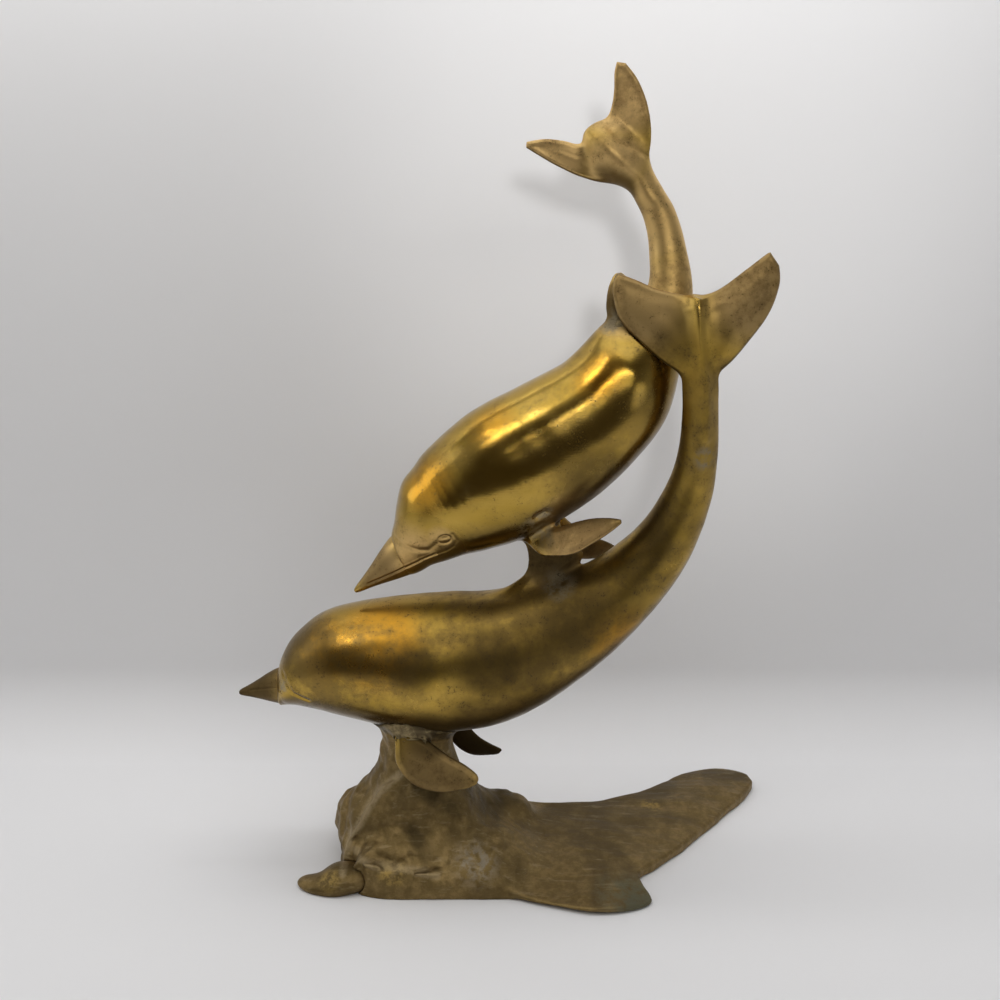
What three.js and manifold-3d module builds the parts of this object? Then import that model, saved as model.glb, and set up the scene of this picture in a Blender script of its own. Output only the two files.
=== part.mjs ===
// Two brass dolphins over a rock and a wave: hollow castings brazed together.
// Millimetres, +Z up, +X to the viewer's right, +Y away from the viewer.
// The pieces are laid out from the lowest point of the lower belly, with the table standHeight
// below it and both bodies halved by the plane y = 0. The last lines stand the whole piece on the
// table, over the origin.
import * as THREE from 'three';
import { mergeVertices } from 'three/addons/utils/BufferGeometryUtils.js';
import Module from 'manifold-3d';

const wasm = await Module();
wasm.setup();

// Driving dimensions
const castWall = 3;               // wall of the hollow castings
const brazeGap = 0.3;             // thickness of a brazed joint
const brazeSize = 2.8;            // how far a bead of braze climbs each side of its joint
const spigotLength = 8;           // how deep a casting plugs into its neighbour
const tenonRadius = 3;            // pin on the tail stock that locates the fluke
const tenonLength = 8;
const beakRoot = 1.2;             // how far a beak's plug reaches forward into the beak

const standHeight = 84;           // from the table to the lowest point of the lower belly

const lowerDepth = 81;            // back to belly at the deepest section
const lowerWidth = 72;
const lowerTailOffset = 18;       // how far its tail leans towards the viewer
const lowerBeakLength = 24;
const lowerBeakHeight = 21;
const lowerBeakWidth = 21;
const lowerBeakDroop = 10;        // degrees below the horizontal

const upperDepth = 76.4;
const upperWidth = 66;
const upperTailOffset = 17;       // how far its tail leans away from the viewer
const upperBeakLength = 36;
const upperBeakHeight = 25;
const upperBeakWidth = 22;
const upperBeakDroop = 38;

const dorsalThickness = 7;
const flipperThickness = 5;
const flukeThickness = 5.5;
const edgeThickness = 2.4;        // fins and flukes end in a blunt cast edge

const moundFoot = 5;              // width of the rim that the rock stands on
const boulderStep = 23;           // height of the right boulder's middle
const plateEdge = 4;              // thickness of the wave at its rim
const plateCrown = 3.5;           // how much the wave swells between its rims
const plateThinnest = 1.5;
const pebbleLength = 40;
const pebbleWidth = 24;
const pebbleHeight = 14;
const pebbleSunk = 1.5;           // how much of the pebble's underside is ground off flat

// How finely the surfaces are drawn
const ringPoints = 24;
const beakPoints = 16;
const bladePoints = 10;
const pinSides = 20;
const rowsPerStation = 2;

// Finishes
const polishedBrass = { color: 0xb38a3c, roughness: 0.28, metalness: 1 };
const dullBrass = { color: 0x7d633a, roughness: 0.5, metalness: 1 };
const rockBrass = { color: 0x5f4c2e, roughness: 0.62, metalness: 0.9 };
const brazeMetal = { color: 0xa58a52, roughness: 0.55, metalness: 1 };

const group = new THREE.Group();

function addPart(name, manifold, finish) {
  const largest = manifold.decompose().sort((a, b) => b.volume() - a.volume())[0];
  const mesh = largest.getMesh();
  const geometry = new THREE.BufferGeometry();
  geometry.setAttribute('position', new THREE.BufferAttribute(mesh.vertProperties, mesh.numProp));
  geometry.setIndex(new THREE.BufferAttribute(mesh.triVerts, 1));
  geometry.computeVertexNormals();
  const part = new THREE.Mesh(geometry, new THREE.MeshStandardMaterial(finish));
  part.name = name;
  group.add(part);
}

// Solids from points and faces, with the faces turned outwards
function solidOf(points, faces) {
  const six = (a, b, c) => points[a].dot(points[b].clone().cross(points[c]));
  const volume = faces.reduce((sum, face) => sum + six(...face), 0);
  const triVerts = new Uint32Array((volume > 0 ? faces : faces.map((f) => [...f].reverse())).flat());
  const vertProperties = new Float32Array(points.flatMap((p) => p.toArray()));
  return new wasm.Manifold(new wasm.Mesh({ numProp: 3, vertProperties, triVerts }));
}

function solidOfGeometry(geometry) {
  const bare = geometry.clone();
  bare.deleteAttribute('normal');
  bare.deleteAttribute('uv');
  const merged = mergeVertices(bare, 1e-4);
  const at = merged.attributes.position;
  const points = Array.from({ length: at.count }, (_, i) => new THREE.Vector3().fromBufferAttribute(at, i));
  const index = Array.from(merged.index.array);
  const faces = [];
  for (let i = 0; i < index.length; i += 3) faces.push(index.slice(i, i + 3));
  return solidOf(points, faces);
}

// A skin through closed rings of points, with both ends covered rung by rung
function loft(rings) {
  const count = rings[0].length;
  const faces = [];
  for (let i = 0; i < rings.length - 1; i++) {
    for (let j = 0; j < count; j++) {
      const next = (j + 1) % count;
      const a = i * count + j;
      const b = i * count + next;
      faces.push([a, b, b + count], [a, b + count, a + count]);
    }
  }
  const last = (rings.length - 1) * count;
  for (let j = 0; j < count / 2 - 1; j++) {
    const rung = [j, j + 1, count - 2 - j, count - 1 - j];
    const [a, b, c, d] = rung;
    faces.push([c, b, a], [d, c, a]);
    faces.push([a + last, b + last, c + last], [a + last, c + last, d + last]);
  }
  return solidOf(rings.flat(), faces);
}

// Smooth rows between hand-set rows of numbers
function smoothRows(rows, steps) {
  const out = [];
  const pick = (i) => rows[Math.min(Math.max(i, 0), rows.length - 1)];
  for (let i = 0; i < rows.length - 1; i++) {
    for (let s = 0; s < steps; s++) {
      const t = s / steps;
      out.push(pick(i).map((b, k) => {
        const [a, c, d] = [pick(i - 1)[k], pick(i + 1)[k], pick(i + 2)[k]];
        const bend = (2 * a - 5 * b + 4 * c - d) * t * t + (3 * b - a - 3 * c + d) * t ** 3;
        return b + ((c - a) * t + bend) / 2;
      }));
    }
  }
  out.push(rows.at(-1));
  return out;
}

const vector = (x, y, z) => new THREE.Vector3(x, y, z);
const turn = (degrees) => THREE.MathUtils.degToRad(degrees);

// Stations of a dolphin from head to tail. Each gives a point on its back or belly line, with its
// height above the lower dolphin's back, then the lean of the section, its share of the full depth
// and of the full width, and its share of the tail's offset.
const lowerStations = [
  [-136.5, -47.7, 0, 0.18, 0.2, 0],
  [-136, -42.7, 0, 0.29, 0.33, 0],
  [-134, -36.7, 0, 0.358, 0.44, 0],
  [-130, -29.2, 0, 0.453, 0.56, 0],
  [-124, -22.2, 0, 0.543, 0.66, 0],
  [-112.5, -13.2, 0, 0.678, 0.8, 0],
  [-95, -7.2, 0, 0.808, 0.91, 0],
  [-66, -2.7, 0, 0.95, 0.985, 0],
  [-38, -0.2, 2, 1, 1, 0],
  [-14, 0.8, 10, 0.925, 0.93, 0],
  [19, 9, 23, 0.72, 0.76, 0],
  [46, 22, 33, 0.55, 0.6, 0.05],
  [68, 42, 46, 0.425, 0.46, 0.18],
  [81, 66, 60, 0.335, 0.37, 0.4],
  [86, 86, 77, 0.27, 0.31, 0.65],
  [87, 107, 90, 0.235, 0.28, 0.88],
  [86, 125, 95, 0.235, 0.27, 1],
  [85, 138, 94, 0.22, 0.23, 1],
  [85.5, 153, 92, 0.185, 0.15, 1],
  [87, 164, 90, 0.14, 0.1, 1],
  [88.5, 170, 90, 0.08, 0.07, 1],
];
const upperStations = [
  [-61, 18.5, 27, 0.188, 0.2, 0],
  [-60, 13.6, 25, 0.314, 0.34, 0],
  [-54, 14.8, 27, 0.418, 0.46, 0],
  [-47, 18.3, 30, 0.527, 0.57, 0],
  [-38, 21.3, 31, 0.664, 0.7, 0],
  [-28, 24.8, 31, 0.75, 0.79, 0],
  [-16, 27.7, 31, 0.86, 0.89, 0],
  [9, 36.5, 28, 1, 1, 0],
  [39, 55, 30, 0.978, 0.97, 0],
  [63, 77.5, 33, 0.871, 0.87, 0],
  [81, 103, 39, 0.778, 0.76, 0.12],
  [89.5, 138, 58, 0.467, 0.5, 0.45],
  [94, 166, 79, 0.328, 0.37, 0.75],
  [90, 191.5, 96, 0.265, 0.3, 0.92],
  [84, 210, 107, 0.23, 0.26, 1],
  [77, 221.5, 110, 0.21, 0.235, 1],
  [70, 232, 118, 0.2, 0.21, 1],
  [62.5, 240, 127, 0.17, 0.16, 1],
  [54.5, 246.5, 132, 0.12, 0.1, 1],
  [50, 250.5, 133, 0.07, 0.06, 1],
];

// One dolphin: its rows of sections, and the skin points with their outward normals
function dolphinOf({ stations, line, depth, width, offset, tailJoint, flukeJoint }) {
  const rows = smoothRows(stations, rowsPerStation).map(([x, z, lean, deep, wide, aside]) => {
    const up = vector(-Math.sin(turn(lean)), 0, Math.cos(turn(lean)));
    const half = (deep * depth) / 2;
    const y = aside * offset;
    const centre = vector(x, y, lowerDepth + z).addScaledVector(up, line === 'back' ? -half : half);
    const along = vector(Math.cos(turn(lean)), 0, Math.sin(turn(lean)));
    return { centre, up, along, half, side: (wide * width) / 2 };
  });
  const points = rows.map(({ centre, up, half, side }) => Array.from({ length: ringPoints }, (_, j) => {
    const angle = (j / ringPoints) * 2 * Math.PI - Math.PI / 2;
    const p = centre.clone().addScaledVector(up, half * Math.sin(angle));
    p.y -= side * Math.cos(angle);
    return p;
  }));
  const normals = points.map((ring, i) => ring.map((_, j) => {
    const around = ring[(j + 1) % ringPoints].clone().sub(ring.at(j - 1));
    const before = points[Math.max(i - 1, 0)][j];
    const after = points[Math.min(i + 1, points.length - 1)][j];
    return after.clone().sub(before).cross(around).normalize();
  }));
  normals[0] = points[0].map(() => rows[0].along.clone().negate());
  const flat = (i, j) => {
    const { up, half, side } = rows[i];
    const angle = (j / ringPoints) * 2 * Math.PI - Math.PI / 2;
    return vector(0, -Math.cos(angle) / side, 0).addScaledVector(up, Math.sin(angle) / half).normalize();
  };
  const skin = (i, distance, inPlane = false) => points[i].map((p, j) => (
    p.clone().addScaledVector(inPlane ? flat(i, j) : normals[i][j], distance)));
  const seat = (station, side) => {
    const { centre, up, half } = rows[station * rowsPerStation];
    return centre.clone().addScaledVector(up, side * half);
  };
  return {
    rows, skin, seat, tailRow: tailJoint * rowsPerStation, flukeRow: flukeJoint * rowsPerStation,
  };
}

const lower = dolphinOf({
  stations: lowerStations, line: 'back', depth: lowerDepth, width: lowerWidth,
  offset: -lowerTailOffset, tailJoint: 14, flukeJoint: 16,
});
const upper = dolphinOf({
  stations: upperStations, line: 'belly', depth: upperDepth, width: upperWidth,
  offset: upperTailOffset, tailJoint: 12, flukeJoint: 16,
});

const rowsBetween = (first, last) => Array.from({ length: last - first + 1 }, (_, i) => first + i);
const shifted = (ring, direction, distance) => (
  ring.map((p) => p.clone().addScaledVector(direction, distance)));

// Body castings: two hollow halves that meet on the middle plane
function bodyHalf(dolphin, side) {
  const half = ringPoints / 2;
  const rings = rowsBetween(0, dolphin.tailRow).map((i) => {
    const end = i === dolphin.tailRow;
    const outer = dolphin.skin(i, 0);
    const inner = dolphin.skin(i, -castWall, end);
    const arc = Array.from({ length: half + 1 }, (_, j) => (side < 0 ? j : (ringPoints - j) % ringPoints));
    const ring = [...arc.map((j) => outer[j]), ...arc.reverse().map((j) => inner[j])];
    return shifted(ring, vector(0, side, 0), brazeGap / 2);
  });
  return loft(rings);
}

// The filled shape of a body and its tail, grown by a clearance, to cut what meets it
function bodySolid(dolphin, grow) {
  return loft(rowsBetween(0, dolphin.flukeRow).map((i) => dolphin.skin(i, grow)));
}

// Tail stock: plugs into the open end of the body, and carries a pin for the fluke
function pinSolid({ centre, along }, radius, length) {
  const pin = new THREE.CylinderGeometry(radius, radius, 2 * length, pinSides);
  pin.applyQuaternion(new THREE.Quaternion().setFromUnitVectors(vector(0, 1, 0), along));
  pin.translate(...centre.toArray());
  return solidOfGeometry(pin);
}

function tailStock(dolphin) {
  const { tailRow, flukeRow, rows } = dolphin;
  const joint = rows[tailRow];
  const plug = dolphin.skin(tailRow, -castWall - brazeGap, true);
  const shoulder = shifted(dolphin.skin(tailRow, 0), joint.along, brazeGap);
  const inner = dolphin.skin(tailRow - 1, -castWall - brazeGap);
  const share = spigotLength / joint.centre.distanceTo(rows[tailRow - 1].centre);
  const rings = [
    plug.map((p, j) => p.clone().lerp(inner[j], share)),
    plug,
    shifted(plug, joint.along, brazeGap),
    shoulder,
    ...rowsBetween(tailRow + 1, flukeRow).map((i) => dolphin.skin(i, 0)),
  ];
  return loft(rings).add(pinSolid(rows[flukeRow], tenonRadius, tenonLength));
}

// Beak: its shares of length, height and width run from inside the head to the tip
const beakShares = [
  [-0.18, 0.98, 0.98],
  [0, 1, 1],
  [0.25, 0.8, 0.8],
  [0.5, 0.55, 0.58],
  [0.75, 0.32, 0.36],
  [0.92, 0.16, 0.18],
  [1, 0.05, 0.06],
];
function beakSolid(dolphin, { length, height, width, droop, drop }, grow) {
  const forward = vector(-Math.cos(turn(droop)), 0, -Math.sin(turn(droop)));
  const up = vector(forward.z, 0, -forward.x);
  const root = dolphin.rows[0].centre.clone().addScaledVector(up, -drop);
  const rings = smoothRows(beakShares, rowsPerStation).map(([share, tall, wide]) => {
    const centre = root.clone().addScaledVector(forward, share * length);
    const high = (tall * height) / 2 + grow;
    const side = (wide * width) / 2 + grow;
    return Array.from({ length: beakPoints }, (_, j) => {
      const angle = (j / beakPoints) * 2 * Math.PI - Math.PI / 2;
      const p = centre.clone().addScaledVector(up, high * Math.sin(angle));
      p.y -= side * Math.cos(angle);
      return p;
    });
  });
  rings.push(shifted(rings.at(-1), forward, grow));
  return loft(grow > 0 ? rings : rings.slice(0, -1));
}
const lowerBeak = {
  length: lowerBeakLength, height: lowerBeakHeight, width: lowerBeakWidth,
  droop: lowerBeakDroop, drop: 1,
};
const upperBeak = {
  length: upperBeakLength, height: upperBeakHeight, width: upperBeakWidth,
  droop: upperBeakDroop, drop: 1.5,
};
function beakPart(dolphin, beak) {
  const front = dolphin.rows[0];
  const mouth = dolphin.skin(0, -brazeGap, true);
  const plug = loft([shifted(mouth, front.along, spigotLength), shifted(mouth, front.along, -beakRoot)]);
  return beakSolid(dolphin, beak, 0).subtract(bodySolid(dolphin, brazeGap)).add(plug);
}

// Blades: fins, flippers and flukes, each a row of sections from its leading to its trailing edge.
// A section is its leading point, its trailing point and its share of the full thickness, and the
// points are measured from the blade's seat on its dolphin.
const bladeFullness = 0.7;
function bladeSolid({ seat, sections, thickness }, grow = 0) {
  const rows = smoothRows(sections, rowsPerStation);
  const lead = rows.map((row) => vector(...row.slice(0, 3)).add(seat));
  const trail = rows.map((row) => vector(...row.slice(3, 6)).add(seat));
  const middle = rows.map((_, i) => lead[i].clone().add(trail[i]).multiplyScalar(0.5));
  const last = rows.length - 1;
  const rings = rows.map((row, i) => {
    const span = middle[Math.min(i + 1, last)].clone().sub(middle[Math.max(i - 1, 0)]).normalize();
    const chord = trail[i].clone().sub(lead[i]);
    const length = chord.length();
    chord.normalize();
    const face = chord.clone().cross(span).normalize();
    const half = Math.max(row[6] * thickness, edgeThickness) / 2;
    return Array.from({ length: bladePoints }, (_, j) => {
      const angle = ((j + 0.5) / bladePoints) * 2 * Math.PI;
      const across = (1 - Math.cos(angle)) / 2;
      const thick = half * Math.abs(Math.sin(angle)) ** bladeFullness + grow;
      const reach = across * (length + 2 * grow) - grow;
      const p = lead[i].clone().addScaledVector(chord, reach);
      p.addScaledVector(face, Math.sign(Math.sin(angle)) * thick);
      const push = i === 0 ? -grow : i === last ? grow : 0;
      return p.addScaledVector(span, push);
    });
  });
  return loft(rings);
}

const lowerDorsalSections = [
  [-31, 0, -16, 9, 0, -10, 1.1],
  [-20, 0, -3, 1, 0, -3, 1],
  [-14.5, 0, 4, 7, 0, 5, 0.9],
  [-13, 0, 11, 15, 0, 11, 0.8],
  [-14, 0, 18, 17, 0, 16, 0.8],
  [-16.5, 0, 25, 9, 0, 25, 0.8],
  [-17, 0, 32, 3, 0, 33, 0.8],
];
const upperDorsalSections = [
  [-9.6, -2, -18.2, 24.4, -2, -2.2, 1.1],
  [4.4, -2, 0.8, 23.4, -2, 6.8, 1],
  [2.9, -2, 11.8, 20.4, -2, 16.8, 0.9],
  [3.4, -2, 20.8, 16.4, -2, 23.8, 0.75],
  [5.4, -2, 27.3, 13.4, -2, 28.3, 0.6],
  [7.4, -2, 30.3, 10.4, -2, 30.8, 0.4],
];
const upperLeftFlipperSections = [
  [-7, -4, -1.5, 1, -2, 14.5, 1.2],
  [2, -16, -7.5, 6, -12, 9.5, 1],
  [8, -22, -7, 13, -16, 8, 0.9],
  [20, -30, -3, 22, -20, 12, 0.9],
  [32, -32, 3, 32, -24, 15, 0.8],
  [41, -34, 11, 41, -28, 18, 0.7],
  [45, -34, 16, 45, -32, 18, 0.5],
];
const upperRightFlipperSections = [
  [-7, 6, -1.5, 11, 4, 14.5, 1.2],
  [5, 15, -11.5, 21, 14, 1.5, 1],
  [17, 23, -20.5, 35, 21, -9.5, 0.9],
  [29, 27, -24.5, 44, 26, -14.5, 0.8],
  [39, 29, -24.5, 48, 28, -17.5, 0.7],
  [45, 30, -23.5, 49, 30, -19.5, 0.5],
];
const lowerLeftFlipperSections = [
  [-6, -12, 14.7, 18, -12, 14.7, 1.3],
  [-2, -20, 2.7, 8, -20, 4.7, 1.1],
  [1, -26, -9.3, 16, -24, -1.3, 1],
  [10, -32, -18.3, 26, -28, -7.3, 1],
  [24, -36, -21.3, 35, -32, -10.3, 0.9],
  [37, -38, -20.3, 42, -36, -14.3, 0.7],
  [43, -38, -19.3, 44, -38, -16.8, 0.5],
];
const lowerRightFlipperSections = [
  [-16.8, 10, 6.2, 5.2, 10, 8.2, 1.3],
  [-7.8, 20, -11.8, 7.2, 20, -8.8, 1],
  [-0.8, 26, -25.8, 12.2, 26, -18.8, 0.9],
  [8.2, 32, -33.8, 19.2, 30, -26.8, 0.8],
  [19.2, 36, -35.8, 24.2, 34, -30.8, 0.7],
  [24.2, 38, -34.8, 26.2, 36, -32.3, 0.5],
];
const lowerFlukeSections = [
  [-45.5, 13.5, 51.2, -43.5, 13.5, 54.2, 0.5],
  [-46, 13, 43.2, -32.5, 13, 50.2, 0.7],
  [-41.5, 9.5, 29.2, -24.5, 8.5, 47.2, 0.9],
  [-28.5, 5.5, 16.2, -14.5, 4.5, 45.2, 1],
  [-16.5, 1.5, 7.2, -7.5, 1.5, 44.2, 1.2],
  [-0.5, 0, -0.8, -3.5, 0, 44.2, 1.3],
  [13.5, 0.5, 7.2, 1.5, 0.5, 45.2, 1.2],
  [24, 1.5, 19.2, 9, 1.5, 48.4, 1],
  [34.5, 2.5, 34.2, 19, 2.5, 55.4, 0.9],
  [39.5, 3.5, 49.2, 29, 3.5, 62.9, 0.7],
  [39, 4.5, 59.2, 34, 4.5, 66.4, 0.5],
];
const upperFlukeSections = [
  [-59.8, -1.5, 15.1, -59.3, -1.5, 18.1, 0.5],
  [-52.3, -1.5, 10.6, -49.3, -1.5, 19.6, 0.7],
  [-41.3, -0.5, 4.6, -39.3, -0.5, 18.6, 0.9],
  [-29.3, -0.5, -0.4, -30.3, -0.5, 16.6, 1],
  [-17.3, 0, -2.4, -27.3, 0, 22.6, 1.2],
  [-3.3, 0, 3.6, -22.3, 0, 26.6, 1.3],
  [4.7, 0, 11.6, -17.3, 0, 30.1, 1.2],
  [6.2, -0.5, 23.6, -14.8, -0.5, 36.6, 1],
  [3.7, -0.5, 37.6, -13.8, -0.5, 44.6, 0.9],
  [-1.8, -1.5, 49.6, -13.8, -1.5, 52.6, 0.7],
  [-8.3, -1.5, 57.6, -12.8, -1.5, 58.1, 0.5],
];

// Where each blade sits: a station of its dolphin, on the back (1), the axis (0) or the belly (-1)
const blade = (dolphin, station, side, sections, thickness) => (
  { seat: dolphin.seat(station, side), sections, thickness });
const lowerDorsal = blade(lower, 10, 1, lowerDorsalSections, dorsalThickness);
const upperDorsal = blade(upper, 10, 1, upperDorsalSections, dorsalThickness);
const upperLeftFlipper = blade(upper, 7, -1, upperLeftFlipperSections, flipperThickness);
const upperRightFlipper = blade(upper, 7, -1, upperRightFlipperSections, flipperThickness);
const lowerLeftFlipper = blade(lower, 7, -1, lowerLeftFlipperSections, flipperThickness);
const lowerRightFlipper = blade(lower, 8, -1, lowerRightFlipperSections, flipperThickness);
const lowerFluke = blade(lower, 16, 0, lowerFlukeSections, flukeThickness);
const upperFluke = blade(upper, 16, 0, upperFlukeSections, flukeThickness);

// Fluke: a hub that carries on the tail stock, joined to the two lobes
function flukeSolid(dolphin, lobes, grow) {
  const { flukeRow, rows } = dolphin;
  const hub = loft(rowsBetween(flukeRow, rows.length - 1).map((i) => dolphin.skin(i, grow, true)));
  return hub.add(bladeSolid(lobes, grow));
}
function flukePart(dolphin, lobes) {
  const seat = dolphin.rows[dolphin.flukeRow];
  const stock = rowsBetween(dolphin.tailRow, dolphin.flukeRow).map((i) => dolphin.skin(i, brazeGap, true));
  stock.push(shifted(stock.at(-1), seat.along, brazeGap));
  const socket = pinSolid(seat, tenonRadius + brazeGap, tenonLength + brazeGap);
  return flukeSolid(dolphin, lobes, 0).subtract(loft(stock)).subtract(socket);
}

// Rock: outlines at rising heights, each a share of the stand height followed by twelve points
// that go round from the front left corner, seen from above
const rockLevels = [
  [0, -97, -34, -80, -47, -46, -46, -12, -44, -2, -22, 5, 0,
    6, 20, -4, 44, -36, 56, -74, 50, -98, 30, -103, 0],
  [0.095, -96, -32, -80, -43, -46, -43, -12, -41, -2, -22, 5, 0,
    5, 20, -6, 43, -36, 54, -74, 48, -99, 28, -105, 0],
  [0.238, -94, -26, -78, -32, -48, -34, -20, -30, -10, -18, -5, 0,
    -3, 16, -14, 34, -40, 46, -74, 42, -101, 24, -107, 2],
  [0.429, -90, -20, -74, -24, -50, -26, -30, -22, -23, -12, -19, 1,
    -19, 14, -28, 26, -46, 36, -72, 34, -92, 20, -101, 4],
  [0.643, -80, -16, -70, -22, -56, -24, -41, -20, -34, -10, -31, -1,
    -34, 10, -42, 18, -53, 24, -66, 24, -80, 14, -86, 2],
  [0.857, -75, -12, -67, -16, -58, -18, -47, -14, -39, -8, -36, 0,
    -38, 8, -44, 14, -54, 17, -66, 15, -74, 9, -79, 0],
  [1.071, -74, -10, -66, -14, -57, -14, -48, -12, -42, -8, -39, 0,
    -41, 7, -47, 12, -56, 14, -66, 13, -73, 8, -77, 0],
];
const rockRingPoints = 32;
const rockRowsPerLevel = 2;
const hollowLevels = 4;           // the hollow ends below this level
function rockRings(inset) {
  const levels = smoothRows(rockLevels, rockRowsPerLevel);
  const rings = levels.map(([z, ...flatXY]) => {
    const corners = [];
    const height = (z - 1) * standHeight;
    for (let i = 0; i < flatXY.length; i += 2) corners.push(vector(flatXY[i], flatXY[i + 1], height));
    return new THREE.CatmullRomCurve3(corners, true).getPoints(rockRingPoints).slice(0, -1);
  });
  return rings.map((ring, i) => ring.map((p, j) => {
    const around = ring[(j + 1) % ring.length].clone().sub(ring.at(j - 1));
    const rise = rings[Math.min(i + 1, rings.length - 1)][j].clone().sub(rings[Math.max(i - 1, 0)][j]);
    return p.clone().addScaledVector(around.cross(rise).normalize(), -inset);
  }));
}
const withFoot = (rings) => [shifted(rings[0], vector(0, 0, 1), -castWall), ...rings];
const boulders = [
  { at: [-2, 9, boulderStep], size: [14, 13, 12], tilt: 20 },
  { at: [-92, 12, 24], size: [12, 15, 15], tilt: -25 },
];
const stoneAround = 20;
const stoneRows = 12;
function boulderSolid({ at, size, tilt }, grow) {
  const stone = new THREE.SphereGeometry(1, stoneAround, stoneRows);
  stone.scale(...size.map((s) => s + grow));
  stone.rotateY(turn(tilt));
  stone.translate(at[0], at[1], at[2] - standHeight);
  return solidOfGeometry(stone);
}
function rockSolid(grow) {
  const stones = boulders.map((stone) => boulderSolid(stone, grow));
  return stones.reduce((sum, stone) => sum.add(stone), loft(withFoot(rockRings(-grow))));
}
function rockHollow() {
  return loft(withFoot(rockRings(moundFoot).slice(0, rockRowsPerLevel * hollowLevels)));
}

// Undersides are ground flat at the table
const groundFlat = (solid) => solid.trimByPlane([0, 0, 1], -standHeight);

// Wave: rows from under the rock to its tip, each a front and a rear rim point, then its height there
const waveRows = [
  [-30, -34, -30, 30, 10, 18],
  [-8, -46, -4, 36, 5, 16],
  [8, -54, 18, 40, 4, 14],
  [24, -60, 40, 45, 4, 12],
  [42, -65, 60, 53, 4, 10],
  [62, -62, 76, 61, 4, 9],
  [75, -54, 88, 71, 4, 8],
  [71, -39, 100, 83, 4, 7],
  [71.5, -28, 110, 92, 5, 7],
  [90, -8, 123, 98, 5, 7],
  [118, 28, 132, 101, 5, 7],
  [142, 60, 140, 99, 5, 6],
  [153, 79, 147, 94, 4.5, 5],
  [155, 86, 151, 90, 4, 4],
];
const waveSpan = 8;
const rimShare = 0.02;            // where the rim's rounding starts, across the wave
const rimRoundness = 0.25;
function waveSolid(grow) {
  const rings = smoothRows(waveRows, rowsPerStation).map(([x0, y0, x1, y1, z0, z1]) => {
    const front = vector(x0, y0, 0);
    const rear = vector(x1, y1, 0);
    const outward = rear.clone().sub(front).normalize();
    front.addScaledVector(outward, -grow);
    rear.addScaledVector(outward, grow);
    const top = Array.from({ length: waveSpan + 1 }, (_, k) => {
      const share = k / waveSpan;
      const inRim = Math.min(Math.max(share, rimShare), 1 - rimShare);
      const rim = plateEdge * Math.sin(Math.PI * inRim) ** rimRoundness;
      const slope = z0 + (z1 - z0) * share - plateEdge;
      const lift = slope + rim + plateCrown * Math.sin(Math.PI * share);
      return front.clone().lerp(rear, share).setZ(Math.max(lift, plateThinnest) + grow - standHeight);
    });
    const bottom = [...top].reverse().map((p) => vector(p.x, p.y, -grow - standHeight));
    return [...top, ...bottom];
  });
  return loft(rings);
}

// Toe stone: a pebble in front of the rock's left corner
const pebbleAt = { x: -104, y: -34, heading: -22 };
function pebbleSolid(grow) {
  const stone = new THREE.SphereGeometry(1, stoneAround, stoneRows);
  stone.scale(pebbleLength / 2 + grow, pebbleWidth / 2 + grow, pebbleHeight / 2 + grow);
  stone.rotateZ(turn(pebbleAt.heading));
  stone.translate(pebbleAt.x, pebbleAt.y, pebbleHeight / 2 - pebbleSunk - standHeight);
  return solidOfGeometry(stone);
}

// Bead of braze: fills the corner between two castings, clear of both
function bead(first, second) {
  const corner = first(brazeSize).intersect(second(brazeSize));
  return corner.subtract(first(brazeGap)).subtract(second(brazeGap));
}

// The assembly
const lowerBody = bodySolid(lower, brazeGap);
const upperBody = bodySolid(upper, brazeGap);

addPart('lower_body_left_half', bodyHalf(lower, -1), polishedBrass);
addPart('lower_body_right_half', bodyHalf(lower, 1), polishedBrass);
addPart('lower_beak', beakPart(lower, lowerBeak), polishedBrass);
addPart('lower_tail_stock', tailStock(lower), polishedBrass);
addPart('lower_fluke', flukePart(lower, lowerFluke).subtract(upperBody), dullBrass);
addPart('lower_dorsal_fin', bladeSolid(lowerDorsal).subtract(lowerBody).subtract(upperBody), dullBrass);
addPart('lower_left_flipper', bladeSolid(lowerLeftFlipper).subtract(lowerBody), dullBrass);
addPart('lower_right_flipper', bladeSolid(lowerRightFlipper).subtract(lowerBody), dullBrass);

addPart('upper_body_left_half', bodyHalf(upper, -1), polishedBrass);
addPart('upper_body_right_half', bodyHalf(upper, 1), polishedBrass);
addPart('upper_beak', beakPart(upper, upperBeak), polishedBrass);
addPart('upper_tail_stock', tailStock(upper), polishedBrass);
addPart('upper_fluke', flukePart(upper, upperFluke), dullBrass);
addPart('upper_dorsal_fin', bladeSolid(upperDorsal).subtract(upperBody)
  .subtract(flukeSolid(lower, lowerFluke, brazeGap)), dullBrass);
addPart('upper_left_flipper', bladeSolid(upperLeftFlipper).subtract(upperBody), dullBrass);
addPart('upper_right_flipper', bladeSolid(upperRightFlipper).subtract(upperBody), dullBrass);

const flippers = [lowerLeftFlipper, lowerRightFlipper, upperLeftFlipper, upperRightFlipper]
  .map((flipper) => bladeSolid(flipper, brazeGap))
  .reduce((sum, flipper) => sum.add(flipper));
const pebble = pebbleSolid(brazeGap);
addPart('rock_mound', groundFlat(rockSolid(0)).subtract(rockHollow()).subtract(lowerBody)
  .subtract(flippers).subtract(pebble), rockBrass);
addPart('toe_stone', groundFlat(pebbleSolid(0)), rockBrass);
addPart('wave_plate', groundFlat(waveSolid(0)).subtract(rockSolid(brazeGap)), rockBrass);

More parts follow.
